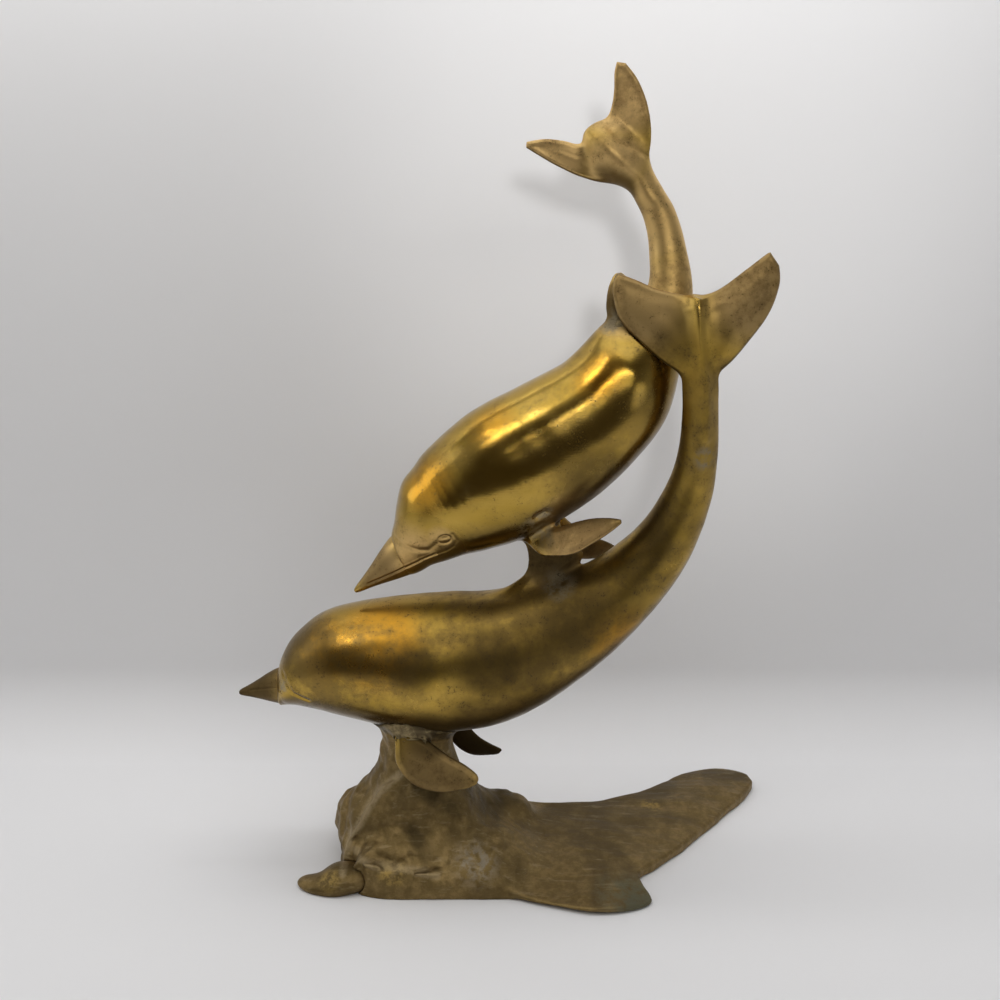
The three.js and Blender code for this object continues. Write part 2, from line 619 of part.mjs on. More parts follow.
const lowerSkin = (grow) => bodySolid(lower, grow);
const upperSkin = (grow) => bodySolid(upper, grow);
const fin = (sections) => (grow) => bladeSolid(sections, grow);
addPart('belly_braze', bead(lowerSkin, rockSolid).subtract(flippers), brazeMetal);
addPart('chest_braze', bead(upperSkin, fin(lowerDorsal)).subtract(flippers), brazeMetal);
addPart('lobe_braze', bead((grow) => flukeSolid(lower, lowerFluke, grow), fin(upperDorsal))
  .subtract(upperBody), brazeMetal);
addPart('beak_braze', bead(lowerSkin, (grow) => beakSolid(lower, lowerBeak, grow)), brazeMetal);
addPart('wave_braze', groundFlat(bead(waveSolid, rockSolid)), brazeMetal);

// Stand the sculpture on the table, over the origin
const box = new THREE.Box3().setFromObject(group);
const centre = box.getCenter(vector());
group.position.set(-centre.x, -centre.y, -box.min.z);

export default group;
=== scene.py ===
# Two brass dolphins over a rock and a wave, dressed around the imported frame.
import math
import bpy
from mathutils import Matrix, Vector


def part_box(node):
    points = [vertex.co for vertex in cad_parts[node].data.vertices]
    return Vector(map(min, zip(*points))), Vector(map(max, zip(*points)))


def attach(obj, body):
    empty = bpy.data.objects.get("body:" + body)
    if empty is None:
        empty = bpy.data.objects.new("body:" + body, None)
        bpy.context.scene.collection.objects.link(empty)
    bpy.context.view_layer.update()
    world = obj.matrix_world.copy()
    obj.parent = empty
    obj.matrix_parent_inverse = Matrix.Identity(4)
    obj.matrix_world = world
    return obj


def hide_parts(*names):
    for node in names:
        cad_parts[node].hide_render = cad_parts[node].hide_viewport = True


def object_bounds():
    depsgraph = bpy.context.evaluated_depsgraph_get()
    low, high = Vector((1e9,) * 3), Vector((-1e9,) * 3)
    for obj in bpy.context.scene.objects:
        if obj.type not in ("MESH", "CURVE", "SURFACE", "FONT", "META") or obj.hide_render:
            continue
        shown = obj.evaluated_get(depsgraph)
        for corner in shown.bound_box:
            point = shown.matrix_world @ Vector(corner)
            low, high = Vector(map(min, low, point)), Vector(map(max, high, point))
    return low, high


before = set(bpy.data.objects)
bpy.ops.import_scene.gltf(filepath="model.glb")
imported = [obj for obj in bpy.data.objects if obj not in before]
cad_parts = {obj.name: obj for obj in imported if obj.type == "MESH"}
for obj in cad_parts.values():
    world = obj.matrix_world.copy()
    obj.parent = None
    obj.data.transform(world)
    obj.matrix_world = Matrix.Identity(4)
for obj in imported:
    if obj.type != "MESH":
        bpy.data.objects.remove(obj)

from concurrent.futures import ThreadPoolExecutor
import bmesh
import bpy
import numpy as np

cad_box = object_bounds()

# Lower dolphin
# A hollow brass casting in two halves, brazed on the middle plane and ground flush, so that it shows
# as one skin. Its sections are ellipses, laid out in millimetres from the lowest point of the belly.
STAND_HEIGHT = 84
WAVE_TIP_X = 155
place = np.array([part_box("wave_plate")[1][0] * 1000 - WAVE_TIP_X,
                  (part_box("lower_beak")[0][1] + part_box("lower_beak")[1][1]) * 500,
                  STAND_HEIGHT])
lower_depth = 81
lower_width = 72
lower_tail_offset = -18
lower_stations = [
    [-136.5, -47.7, 0, 0.18, 0.2, 0],
    [-136, -42.7, 0, 0.29, 0.33, 0],
    [-134, -36.7, 0, 0.358, 0.44, 0],
    [-130, -29.2, 0, 0.453, 0.56, 0],
    [-124, -22.2, 0, 0.543, 0.66, 0],
    [-112.5, -13.2, 0, 0.678, 0.8, 0],
    [-95, -7.2, 0, 0.808, 0.91, 0],
    [-66, -2.7, 0, 0.95, 0.985, 0],
    [-38, -0.2, 2, 1, 1, 0],
    [-14, 0.8, 10, 0.925, 0.93, 0],
    [19, 9, 23, 0.72, 0.76, 0],
    [46, 22, 33, 0.55, 0.6, 0.05],
    [68, 42, 46, 0.425, 0.46, 0.18],
    [81, 66, 60, 0.335, 0.37, 0.4],
    [86, 86, 77, 0.27, 0.31, 0.65],
    [87, 107, 90, 0.235, 0.28, 0.88],
    [86, 125, 95, 0.235, 0.27, 1],
    [85, 138, 94, 0.22, 0.26, 1],
    [85.5, 153, 92, 0.19, 0.24, 1],
    [86, 164, 90, 0.165, 0.2, 1],
    [87, 169, 90, 0.14, 0.15, 1],
]


def smooth_rows(rows, steps):
    """Given rows of numbers with smooth rows between them, on a curve that passes through each."""
    rows = np.array(rows, float)
    last = len(rows) - 1
    t = np.linspace(0, last, last * steps + 1)
    i = np.minimum(t.astype(int), last - 1)
    u = (t - i)[:, None]
    a, b, c, d = (rows[np.clip(i + k, 0, last)] for k in (-1, 0, 1, 2))
    return b + ((c - a) * u + (2 * a - 5 * b + 4 * c - d) * u ** 2 + (3 * b - a - 3 * c + d) * u ** 3) / 2


def in_parts(measure, points, most=16384):
    """measure of many points, worked out for a few thousand of them at a time."""
    parts = [points[i:i + most] for i in range(0, len(points), most)]
    with ThreadPoolExecutor() as pool:
        return np.concatenate(list(pool.map(measure, parts)))


class Loft:
    """A body of elliptical sections. Its distance is measured in the section that holds the point."""

    def __init__(self, centre, up, half, side, keel, steps, stride=12):
        along = np.stack([up[:, 2], 0 * half, -up[:, 0]], 1)
        self.steps = steps
        self.stride = stride
        self.rows = np.column_stack([centre, up, half, side, keel])
        self.gates = centre[::stride], along[::stride]
        self.gate_rise = (centre * along).sum(1)[::stride].astype("f4")
        reach = np.maximum(half, side).max()
        self.low = centre.min(0) - reach
        self.high = centre.max(0) + reach

    def section(self, points):
        """For each point: its station, how far it lies past an end, and its place in the section."""
        centre, along = self.gates
        rise = points.astype("f4") @ along.T.astype("f4") - self.gate_rise
        crossing = (rise[:, :-1] >= 0) & (rise[:, 1:] < 0)
        middle = (centre[:-1] + centre[1:]).astype("f4") / 2
        square = (middle ** 2).sum(1) - 2 * points.astype("f4") @ middle.T
        k = np.where(crossing, square, np.inf).argmin(1)
        none = ~crossing.any(1)
        before, after = none & (rise[:, 0] < 0), none & (rise[:, -1] >= 0)
        k = np.where(before, 0, np.where(after, len(middle) - 1, k))
        r0 = ((points - centre[k]) * along[k]).sum(1)
        r1 = ((points - centre[k + 1]) * along[k + 1]).sum(1)
        u = np.clip(r0 / np.where(np.abs(r0 - r1) < 1e-9, 1e-9, r0 - r1), 0, 1)
        past = np.where(before, -r0, np.where(after, r1, 0))
        t = np.minimum((k + u) * self.stride, len(self.rows) - 1.0001)
        i = t.astype(int)
        row = self.rows[i] + (self.rows[i + 1] - self.rows[i]) * (t - i)[:, None]
        high = (points[:, 0] - row[:, 0]) * row[:, 3] + (points[:, 2] - row[:, 2]) * row[:, 5]
        return t / self.steps, past, high, points[:, 1] - row[:, 1], row[:, 6], row[:, 7], row[:, 8]

    def __call__(self, points):
        _, past, high, aside, half, side, keel = self.section(points)
        power = np.where(aside < 0, keel, 2)
        share = ((np.abs(high) / half) ** power + (np.abs(aside) / side) ** power) ** (1 / power)
        from_middle = np.hypot(high, aside)
        out = np.where(share < 0.05, -half * (1 - share), from_middle * (1 - 1 / np.maximum(share, 0.05)))
        return np.where(past > 0, np.where(out > 0, np.hypot(out, past), np.maximum(out, past)), out)


def dolphin_loft(stations, line, depth, width, offset, keel, steps=48):
    """A body from its stations. Each gives a place on the back or belly line in side view, the lean
    of its section in degrees, and its shares of the greatest depth, of the greatest width and of the
    tail's offset to one side."""
    x, z, lean, deep, wide, aside = smooth_rows(stations, steps).T
    lean = np.radians(lean)
    up = np.stack([-np.sin(lean), 0 * lean, np.cos(lean)], 1)
    half = deep * depth / 2
    start = np.stack([x, aside * offset, lower_depth + z], 1)
    centre = start + up * (half * (-1 if line == "back" else 1))[:, None]
    ridge = np.interp(np.arange(len(x)) / steps, *zip(*keel))
    return Loft(centre, up, half, wide * width / 2, ridge, steps)


def near_only(shape, margin=14):
    """A shape that measures only the points near its box, and gives the others their way to it."""
    def measure(points):
        outside = np.maximum(np.maximum(shape.low - points, points - shape.high), 0)
        away = np.sqrt((outside ** 2).sum(1))
        close = away < margin
        out = away + margin / 2
        if close.any():
            out[close] = shape(points[close])
        return out
    return measure


# The tail stock has a sharp keel on the viewer's side, from the fluke down to the body.
lower_keel = [(0, 2), (11.5, 2), (13.5, 1.6), (15.5, 1.3), (18, 1.15), (20, 1.15)]
lower_loft = dolphin_loft(lower_stations, "back", lower_depth, lower_width, lower_tail_offset, lower_keel)
lower_body = near_only(lower_loft)

# Rows of shares of a beak's length, height and width, from inside the head to the tip.
beak_shares = [
    [-0.45, 0.9, 0.9],
    [-0.18, 0.98, 0.98],
    [0, 1, 1],
    [0.25, 0.8, 0.8],
    [0.5, 0.55, 0.58],
    [0.75, 0.32, 0.36],
    [0.92, 0.19, 0.22],
    [1, 0.1, 0.12],
]


def beak_loft(body, length, height, width, droop, drop, steps=24):
    """A beak from a body's front end. It starts drop below the middle and points droop degrees down."""
    share, tall, wide = smooth_rows(beak_shares, steps).T
    droop = math.radians(droop)
    forward = np.array([math.cos(droop), 0, math.sin(droop)])
    up = np.array([-forward[2], 0, forward[0]])
    root = body.rows[0, :3] - up * drop
    centre = root - forward * (share * length)[:, None]
    rows = np.ones((len(share), 1))
    return Loft(centre[::-1], up * rows, (tall * height / 2)[::-1], (wide * width / 2)[::-1],
                2 * rows[:, 0], steps, 6)


lower_beak = near_only(beak_loft(lower_loft, 24, 21, 21, 10, 1))


def outline_distance(flat, loop):
    """Signed distance in the plane to a closed loop of points, negative inside it."""
    a = loop.astype("f4")
    b = np.roll(a, -1, 0)
    edge = b - a
    rel = flat.astype("f4")[:, None] - a
    t = np.clip((rel * edge).sum(2) / (edge ** 2).sum(1), 0, 1)
    gap = np.sqrt(((rel - edge * t[..., None]) ** 2).sum(2).min(1))
    x, y = flat[:, :1].astype("f4"), flat[:, 1:].astype("f4")
    spans = (a[:, 1] > y) != (b[:, 1] > y)
    with np.errstate(divide="ignore", invalid="ignore"):
        left = x < (b[:, 0] - a[:, 0]) * (y - a[:, 1]) / (b[:, 1] - a[:, 1]) + a[:, 0]
    return np.where((spans & left).sum(1) % 2 == 1, -gap, gap)


def rounded(beside, above, radius):
    """Two distances of one shape, already grown by a radius, joined with a rounded edge."""
    out = np.hypot(np.maximum(beside, 0), np.maximum(above, 0))
    return out + np.minimum(np.maximum(beside, above), 0) - radius


def products(flat, degree):
    """The products of powers of two coordinates, up to a degree."""
    return np.stack([flat[:, 0] ** i * flat[:, 1] ** j
                     for i in range(degree + 1) for j in range(degree + 1 - i)], 1)


class Blade:
    """A fin, flipper or fluke: an outline on a bowed sheet with a rounded rim, thicker inside it."""

    def __init__(self, seat, sections, thickness, edge=1.2, rim=4, bow=2, fullness=1.0, lip=0.0):
        rows = smooth_rows(sections, 10)
        lead, trail = rows[:, 0:3] + seat, rows[:, 3:6] + seat
        cloud = np.concatenate([lead, trail])
        middle = (lead + trail) / 2
        self.origin = cloud.mean(0)
        normal = np.linalg.svd(cloud - self.origin)[2][2]
        span = middle[-1] - middle[0]
        span -= normal * (span @ normal)
        span /= np.linalg.norm(span)
        self.axes = np.array([span, np.cross(normal, span), normal])
        self.loop = (np.concatenate([lead, trail[::-1]]) - self.origin) @ self.axes[:2].T
        self.degree = bow
        local = (cloud - self.origin) @ self.axes.T
        self.flat_low, self.flat_high = local[:, :2].min(0), local[:, :2].max(0)
        self.size = np.abs(local).max()
        self.bow = np.linalg.lstsq(self.powers(local), local[:, 2], rcond=1e-4)[0]
        thick = np.tile(rows[:, 6], 2) * thickness / 2 * fullness
        self.thick = np.linalg.lstsq(self.powers(local), thick, rcond=1e-4)[0]
        self.edge, self.rim, self.lip = edge, rim, lip
        self.low, self.high = cloud.min(0) - thickness, cloud.max(0) + thickness

    def powers(self, local):
        flat = np.clip(local[:, :2], self.flat_low, self.flat_high) / self.size
        return products(flat, self.degree)

    def __call__(self, points):
        local = (points - self.origin) @ self.axes.T
        inside = -outline_distance(local[:, :2], self.loop)
        powers = self.powers(local)
        high = np.abs(local[:, 2] - powers @ self.bow)
        swell = np.clip(inside / self.rim, 0, 1)
        full = np.maximum(powers @ self.thick, self.edge)
        thick = self.edge + (full - self.edge) * swell * swell * (3 - 2 * swell)
        thick = thick + self.lip * (np.exp(-((inside - 1.6) / 1.2) ** 2) - np.exp(-((inside - 5) / 2) ** 2))
        return rounded(self.edge - inside, high - (thick - self.edge), self.edge)


def stone(at, size, tilt=0, heading=0):
    """An egg-shaped stone."""
    tilt, heading = math.radians(tilt), math.radians(heading)
    pitch = np.array([[math.cos(tilt), 0, math.sin(tilt)], [0, 1, 0], [-math.sin(tilt), 0, math.cos(tilt)]])
    yaw = np.array([[math.cos(heading), -math.sin(heading), 0],
                    [math.sin(heading), math.cos(heading), 0], [0, 0, 1]])
    turned = yaw @ pitch

    def measure(points):
        local = (points - np.array(at)) @ turned / np.array(size)
        far = np.sqrt((local ** 2).sum(1))
        steep = np.sqrt(((local / np.array(size)) ** 2).sum(1))
        return far * (far - 1) / np.maximum(steep, 1e-6)
    return measure


def seat_on(loft, station, side):
    """The point on a body's back (side 1), middle (0) or belly (-1) at a station."""
    row = loft.rows[station * loft.steps]
    return row[0:3] + row[3:6] * row[6] * side


# Rows of a fin or fluke: a point on its leading edge, one on its trailing edge, its share of the thickness.
lower_dorsal_sections = [
    [-31, 0, -16, 9, 0, -10, 1.1],
    [-20, 0, -3, 1, 0, -3, 1],
    [-14.5, 0, 4, 7, 0, 5, 0.9],
    [-13, 0, 11, 15, 0, 11, 0.8],
    [-14, 0, 18, 17, 0, 16, 0.8],
    [-16.5, 0, 25, 9, 0, 25, 0.8],
    [-17, 0, 32, 3, 0, 33, 0.8],
]
lower_left_flipper_sections = [
    [-6, -12, 14.7, 18, -12, 14.7, 1.3],
    [-3.5, -21, 1.2, 9, -20, 5, 1.1],
    [-2, -27, -12.3, 17, -24, -0.5, 1],
    [8, -33, -22, 27, -28, -6.5, 1],
    [22, -37, -24.3, 36, -32, -10, 0.9],
    [36, -38.5, -22, 43, -36, -14, 0.7],
    [43, -38, -19.3, 44, -38, -16.8, 0.5],
]
lower_right_flipper_sections = [
    [-16.8, 10, 6.2, 5.2, 10, 8.2, 1.3],
    [-7.8, 20, -11.8, 7.2, 20, -8.8, 1],
    [-0.8, 26, -25.8, 12.2, 26, -18.8, 0.9],
    [8.2, 32, -33.8, 19.2, 30, -26.8, 0.8],
    [19.2, 36, -35.8, 24.2, 34, -30.8, 0.7],
    [24.2, 38, -34.8, 26.2, 36, -32.3, 0.5],
]
lower_fluke_sections = [
    [-45.5, 13.5, 51.2, -43.5, 13.5, 54.2, 0.5],
    [-46, 13, 43.2, -32.5, 13, 50.2, 0.7],
    [-41.5, 9.5, 29.2, -24.5, 8.5, 47.2, 0.9],
    [-28.5, 5.5, 16.2, -14.5, 4.5, 45.2, 1],
    [-16.5, 1.5, 7.2, -7.5, 1.5, 44.2, 1.2],
    [-0.5, 0, -0.8, -3.5, 0, 44.2, 1.3],
    [13.5, 0.5, 7.2, 1.5, 0.5, 45.2, 1.2],
    [24, 1.5, 19.2, 9, 1.5, 48.4, 1],
    [34.5, 2.5, 34.2, 19, 2.5, 55.4, 0.9],
    [39.5, 3.5, 49.2, 29, 3.5, 62.9, 0.7],
    [39, 4.5, 59.2, 34, 4.5, 66.4, 0.5],
]
lower_dorsal = near_only(Blade(seat_on(lower_loft, 10, 1), lower_dorsal_sections, 7))
lower_left_flipper = near_only(Blade(seat_on(lower_loft, 7, -1), lower_left_flipper_sections, 5))
lower_right_flipper = near_only(Blade(seat_on(lower_loft, 8, -1), lower_right_flipper_sections, 5))
lower_fluke = near_only(Blade(seat_on(lower_loft, 16, 0), lower_fluke_sections, 5.5, 1.7, 6, 3, 0.8, 0.2))


def rough(size, seed, waves=18):
    """Soft lumps of a given size, between about -1 and 1."""
    rng = np.random.default_rng(seed)
    ways = rng.normal(size=(waves, 3)) * 1.6 / size
    start = rng.uniform(0, 2 * math.pi, waves)
    return lambda points: np.sin(points @ ways.T + start).sum(1) / math.sqrt(waves)


def string_of(path, points):
    """Distance to a path of straight runs, in side view or in space."""
    path = np.array(path, float)
    near = np.full(len(points), np.inf)
    for a, b in zip(path[:-1], path[1:]):
        t = np.clip((points - a) @ (b - a) / ((b - a) @ (b - a)), 0, 1)
        near = np.minimum(near, np.linalg.norm(points - a - t[:, None] * (b - a), axis=1))
    return near


def union(a, b, fillet):
    """Two distances as one shape, with a fillet where they meet."""
    h = np.maximum(fillet - np.abs(a - b), 0) / fillet
    return np.minimum(a, b) - h * h * fillet / 4


def banded(field, low, counts, step, block=4, steepest=2.6):
    """The field on a grid. Only the blocks that the surface may pass through are measured finely."""
    middle = 0.5 - 0.5 / block
    axes = [low[a] + step * block * (np.arange(counts[a] // block + 1) + middle) for a in range(3)]
    coarse = np.stack(np.meshgrid(*axes, indexing="ij"), -1)
    fine = in_parts(field, coarse.reshape(-1, 3)).reshape(coarse.shape[:3])
    near = np.abs(fine) < step * (block / 2 + 1) * steepest
    for axis in range(3):
        fine = np.repeat(fine, block, axis)
        near = np.repeat(near, block, axis)
    fine[near] = in_parts(field, low + np.argwhere(near) * step)
    return fine


def surface(field, low, high, step):
    """Points and triangles on the zero surface of a field, with the points' outward normals."""
    low, high = np.array(low, float), np.array(high, float)
    grid = banded(field, low, np.ceil((high - low) / step).astype(int), step)
    inside = grid < 0
    corners = np.zeros(np.array(grid.shape) - 1, int)
    for shift in np.ndindex(2, 2, 2):
        corners += inside[tuple(slice(k, k + count) for k, count in zip(shift, corners.shape))]
    cells = (corners > 0) & (corners < 8)
    number = np.full(cells.shape, -1)
    number[cells] = np.arange(cells.sum())
    total, count, faces = np.zeros((cells.sum(), 3)), np.zeros(cells.sum()), []
    for axis in range(3):
        start = [slice(None)] * 3
        end = [slice(None)] * 3
        start[axis], end[axis] = slice(None, -1), slice(1, None)
        a, b = grid[tuple(start)], grid[tuple(end)]
        edge = np.argwhere((a < 0) != (b < 0))
        at = tuple(edge.T)
        point = edge.astype(float)
        point[:, axis] += a[at] / (a[at] - b[at])
        others = [k for k in range(3) if k != axis]
        around = []
        for shift in ((0, 0), (-1, 0), (-1, -1), (0, -1)):
            cell = edge.copy()
            cell[:, others[0]] += shift[0]
            cell[:, others[1]] += shift[1]
            ok = ((cell >= 0) & (cell < cells.shape)).all(1)
            cell[~ok] = 0
            n = np.where(ok, number[tuple(cell.T)], -1)
            around.append(n)
            good = n >= 0
            for k in range(3):
                total[:, k] += np.bincount(n[good], point[good, k], len(total))
            count += np.bincount(n[good], minlength=len(total))
        quad = np.stack(around, 1)
        flip = (a[at] < 0) ^ (axis == 1)
        quad[~flip] = quad[~flip][:, ::-1]
        faces.append(quad[(quad >= 0).all(1)])
    points, normals = settled(field, low + total / count[:, None] * step, 0.25, 0.4, step / 2)
    quads = np.concatenate(faces)
    return points, np.concatenate([quads[:, :3], quads[:, [0, 2, 3]]]), normals


def refined(field, points, faces, where, cuts=3):
    """The same skin with much smaller faces where fine lines are carved, laid on the surface again."""
    mesh = bpy.data.meshes.new("refined")
    mesh.from_pydata(points.tolist(), [], faces.tolist())
    work = bmesh.new()
    work.from_mesh(mesh)
    chosen = where(points)
    edges = [e for e in work.edges if chosen[e.verts[0].index] and chosen[e.verts[1].index]]
    bmesh.ops.subdivide_edges(work, edges=edges, cuts=cuts, use_grid_fill=True)
    bmesh.ops.triangulate(work, faces=work.faces)
    work.to_mesh(mesh)
    work.free()
    points = np.empty(len(mesh.vertices) * 3)
    faces = np.empty(len(mesh.polygons) * 3, int)
    mesh.vertices.foreach_get("co", points)
    mesh.polygons.foreach_get("vertices", faces)
    points = points.reshape(-1, 3)
    bpy.data.meshes.remove(mesh)
    for _ in range(4):
        points, normals = settled(field, points, 0.1, 0.5, 0.3)
    return points, faces.reshape(-1, 3), normals


def settled(field, points, around, least, most):
    """Points moved onto the zero surface by most at the furthest, and the normals where they were. The
    slope comes from four points around each, and counts as least where it is lower."""
    corners = np.array([[1, 1, 1], [1, -1, -1], [-1, 1, -1], [-1, -1, 1]])
    values = np.stack([in_parts(field, points + around * corner) for corner in corners], 1)
    slope = values @ corners / (4 * around)
    steep = np.linalg.norm(slope, axis=1)
    move = np.clip(values.mean(1) / np.maximum(steep, least) ** 2, -most, most)
    return points - slope * move[:, None], slope / np.maximum(steep, 1e-9)[:, None]


def share_out(points, tris, normals, scores):
    """Each owner's part of a skin, cut along the lines where two owners score the same."""
    corner = scores.argmin(0)[tris]
    low, high = corner.min(1), corner.max(1)
    middle = corner.sum(1) - low - high
    three = (low < middle) & (middle < high)
    corner[three] = scores[:, tris[three]].sum(2).argmin(0)[:, None]
    low, high = corner.min(1), corner.max(1)
    for own in range(len(scores)):
        added, extra_p, extra_n, out = {}, [], [], []

        def between(a, b, other):
            key = (min(a, b), max(a, b), other)
            if key not in added:
                first, last = ((scores[own] - scores[other])[list(key[:2])])
                t = first / (first - last)
                added[key] = len(points) + len(extra_p)
                extra_p.append(points[key[0]] * (1 - t) + points[key[1]] * t)
                extra_n.append(normals[key[0]] * (1 - t) + normals[key[1]] * t)
            return added[key]

        mixed = ((low == own) | (high == own)) & (low < high)
        for tri, owners in zip(tris[mixed], corner[mixed]):
            other = int(owners.max() if owners.min() == own else owners.min())
            kept = owners == own
            lone = kept.sum() == 1
            k = int(np.argmax(kept == lone))
            a, b, c = (int(tri[(k + m) % 3]) for m in range(3))
            ab, ac = between(a, b, other), between(a, c, other)
            out += [(a, ab, ac)] if lone else [(ab, b, c), (ab, c, ac)]
        whole = tris[(low == own) & (high == own)]
        if out:
            whole = np.concatenate([whole, np.array(out)])
        used, index = np.unique(whole, return_inverse=True)
        yield (np.concatenate([points, np.reshape(extra_p, (-1, 3))])[used], index.reshape(-1, 3),
               np.concatenate([normals, np.reshape(extra_n, (-1, 3))])[used])


def piece_of(field, name, points, faces, normals, material, slot, *nodes, inset=0.02, proud=0.03, cuts=12):
    """A finished piece from points in millimetres, riding on the body and just inside the solids' box.
    Its open ends are capped inside the metal. A cap that would rise out of a dip in the skin is left
    out, which leaves that end open under the neighbouring piece."""
    room = np.array(cad_box) * 1000 - place
    points = np.clip(points, room[0] + inset, room[1] - inset)
    points[:, 2] = np.maximum(points[:, 2], -STAND_HEIGHT)
    mesh = bpy.data.meshes.new(name)
    mesh.from_pydata(((points + place) / 1000).tolist(), [], faces.tolist())
    work = bmesh.new()
    work.from_mesh(mesh)
    skin = len(work.faces)
    bmesh.ops.holes_fill(work, edges=[e for e in work.edges if e.is_boundary], sides=0)
    shares = np.array([(a, b, cuts - a - b) for a in range(1, cuts - 1) for b in range(1, cuts - a)]) / cuts
    for hole in list(work.faces)[skin:]:
        cap = bmesh.ops.triangulate(work, faces=[hole])["faces"] or [hole]
        corners = np.array([[vert.co for vert in face.verts] for face in cap]) * 1000 - place
        samples = np.einsum("st,ftk->fsk", shares, corners)
        if in_parts(field, samples.reshape(-1, 3)).max() > proud:
            bmesh.ops.delete(work, geom=cap, context="FACES")
    for face in work.faces:
        face.smooth = True
    work.to_mesh(mesh)
    work.free()
    mesh.normals_split_custom_set_from_vertices(normals[:len(mesh.vertices)].tolist())
    mesh.materials.append(material)
    piece = bpy.data.objects.new(name, mesh)
    bpy.context.scene.collection.objects.link(piece)
    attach(piece, "root")
    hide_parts(*nodes)


def pieces_of(field, owners, low, high, step, carved=None):
    """Meshes a field and shares its skin out: each owner gets the part where its own distance is least."""
    points, faces, normals = surface(field, low, high, step)
    if carved:
        points, faces, normals = refined(field, points, faces, carved)
    scores = np.array([in_parts(score, points) for score, *_ in owners.values()])
    parts = share_out(points, faces, normals, scores)
    for (name, (_, *rest)), part in zip(owners.items(), parts):
        piece_of(field, name, *part, *rest)


def up_to(loft, first, last):
    """The part of a loft between two stations: beyond them the distance grows."""
    def measure(points):
        station, past, *_ = loft.section(points)
        beyond = np.maximum(np.maximum(first - station, station - last), 0)
        return loft(points) + beyond * 20
    return measure


class Finish:
    """The nodes of a material or world, in which sums of shader values are written as expressions."""

    def __init__(self, owner):
        owner.use_nodes = True
        self.owner = owner
        self.tree = owner.node_tree
        self.tree.nodes.clear()
        self.place = self.node("ShaderNodeTexCoord").outputs["Object"]

    def node(self, kind, settings=None, **sockets):
        made = self.tree.nodes.new(kind)
        for key, value in (settings or {}).items():
            setattr(made, key, value)
        for key, value in sockets.items():
            self.put(made.inputs[key.replace("_", " ")], value)
        return made

    def put(self, socket, value):
        if isinstance(value, Value):
            value = value.socket
        if isinstance(value, bpy.types.NodeSocket):
            self.tree.links.new(value, socket)
        else:
            socket.default_value = value

    def noise(self, scale, detail=3, stretch=(1, 1, 1), rough=0.55, seed=0, warp=0, turn=(0, 0, 0)):
        turned = self.node("ShaderNodeMapping", Vector=self.place, Scale=stretch, Location=(seed, seed, 0),
                           Rotation=[math.radians(angle) for angle in turn])
        made = self.node("ShaderNodeTexNoise", Vector=turned.outputs[0], Scale=scale, Detail=detail,
                         Roughness=rough, Distortion=warp)
        return Value(self, made.outputs["Fac"])

    def vector(self, operation, *values):
        made = self.node("ShaderNodeVectorMath", {"operation": operation})
        for socket, value in zip(made.inputs, values):
            self.put(socket, value)
        return made

    def near(self, at, reach, strength=1.0, soft=0.6):
        """Full strength at a point given in millimetres, falling to 0 at its reach."""
        away = self.vector("DISTANCE", self.place, tuple((np.array(at) + place) / 1000)).outputs["Value"]
        return (1 - Value(self, away).ramp(reach * (1 - soft) / 1000, reach / 1000)) * strength

    def nearest(self, spots):
        """The strongest of some spots, each a middle, a reach and perhaps a strength."""
        total = self.near(*spots[0])
        for spot in spots[1:]:
            total = total.most(self.near(*spot))
        return total

    def along(self, path, reach):
        """Full strength on a line of straight runs in side view, falling to 0 at its reach."""
        total = None
        for a, b in zip(path[:-1], path[1:]):
            start, run = [np.array((pair[0], 0, pair[1])) / 1000 for pair in (a, np.subtract(b, a))]
            start = start + (place[0] / 1000, 0, place[2] / 1000)
            flat = self.vector("MULTIPLY_ADD", self.place, (1, 0, 1), tuple(-start)).outputs[0]
            share = self.vector("DOT_PRODUCT", flat, tuple(run / (run @ run))).outputs["Value"]
            gone = Value(self, share).most(0)
            foot = self.vector("SCALE", tuple(run))
            self.put(foot.inputs["Scale"], gone.math("MINIMUM", gone, 1))
            away = self.vector("DISTANCE", flat, foot.outputs[0]).outputs["Value"]
            close = 1 - Value(self, away).ramp(reach * 0.2 / 1000, reach / 1000)
            total = total.most(close) if total else close
        return total

    def facing_down(self):
        """1 where the surface looks straight down, -1 where it looks up."""
        normal = self.node("ShaderNodeNewGeometry").outputs["Normal"]
        return Value(self, self.node("ShaderNodeSeparateXYZ", Vector=normal).outputs[2]) * -1

    def mix(self, factor, a, b):
        made = self.node("ShaderNodeMix", {"data_type": "RGBA"})
        self.put(made.inputs["Factor"], factor)
        self.put(made.inputs["A"], a)
        self.put(made.inputs["B"], b)
        return made.outputs["Result"]

    def done(self, color, rough, height, strength, distance):
        bump = self.node("ShaderNodeBump", Height=height, Strength=strength, Distance=distance)
        shader = self.node("ShaderNodeBsdfPrincipled", Metallic=1.0, Roughness=rough,
                           Normal=bump.outputs[0])
        self.put(shader.inputs["Base Color"], color)
        self.node("ShaderNodeOutputMaterial", Surface=shader.outputs[0])
        return self.owner


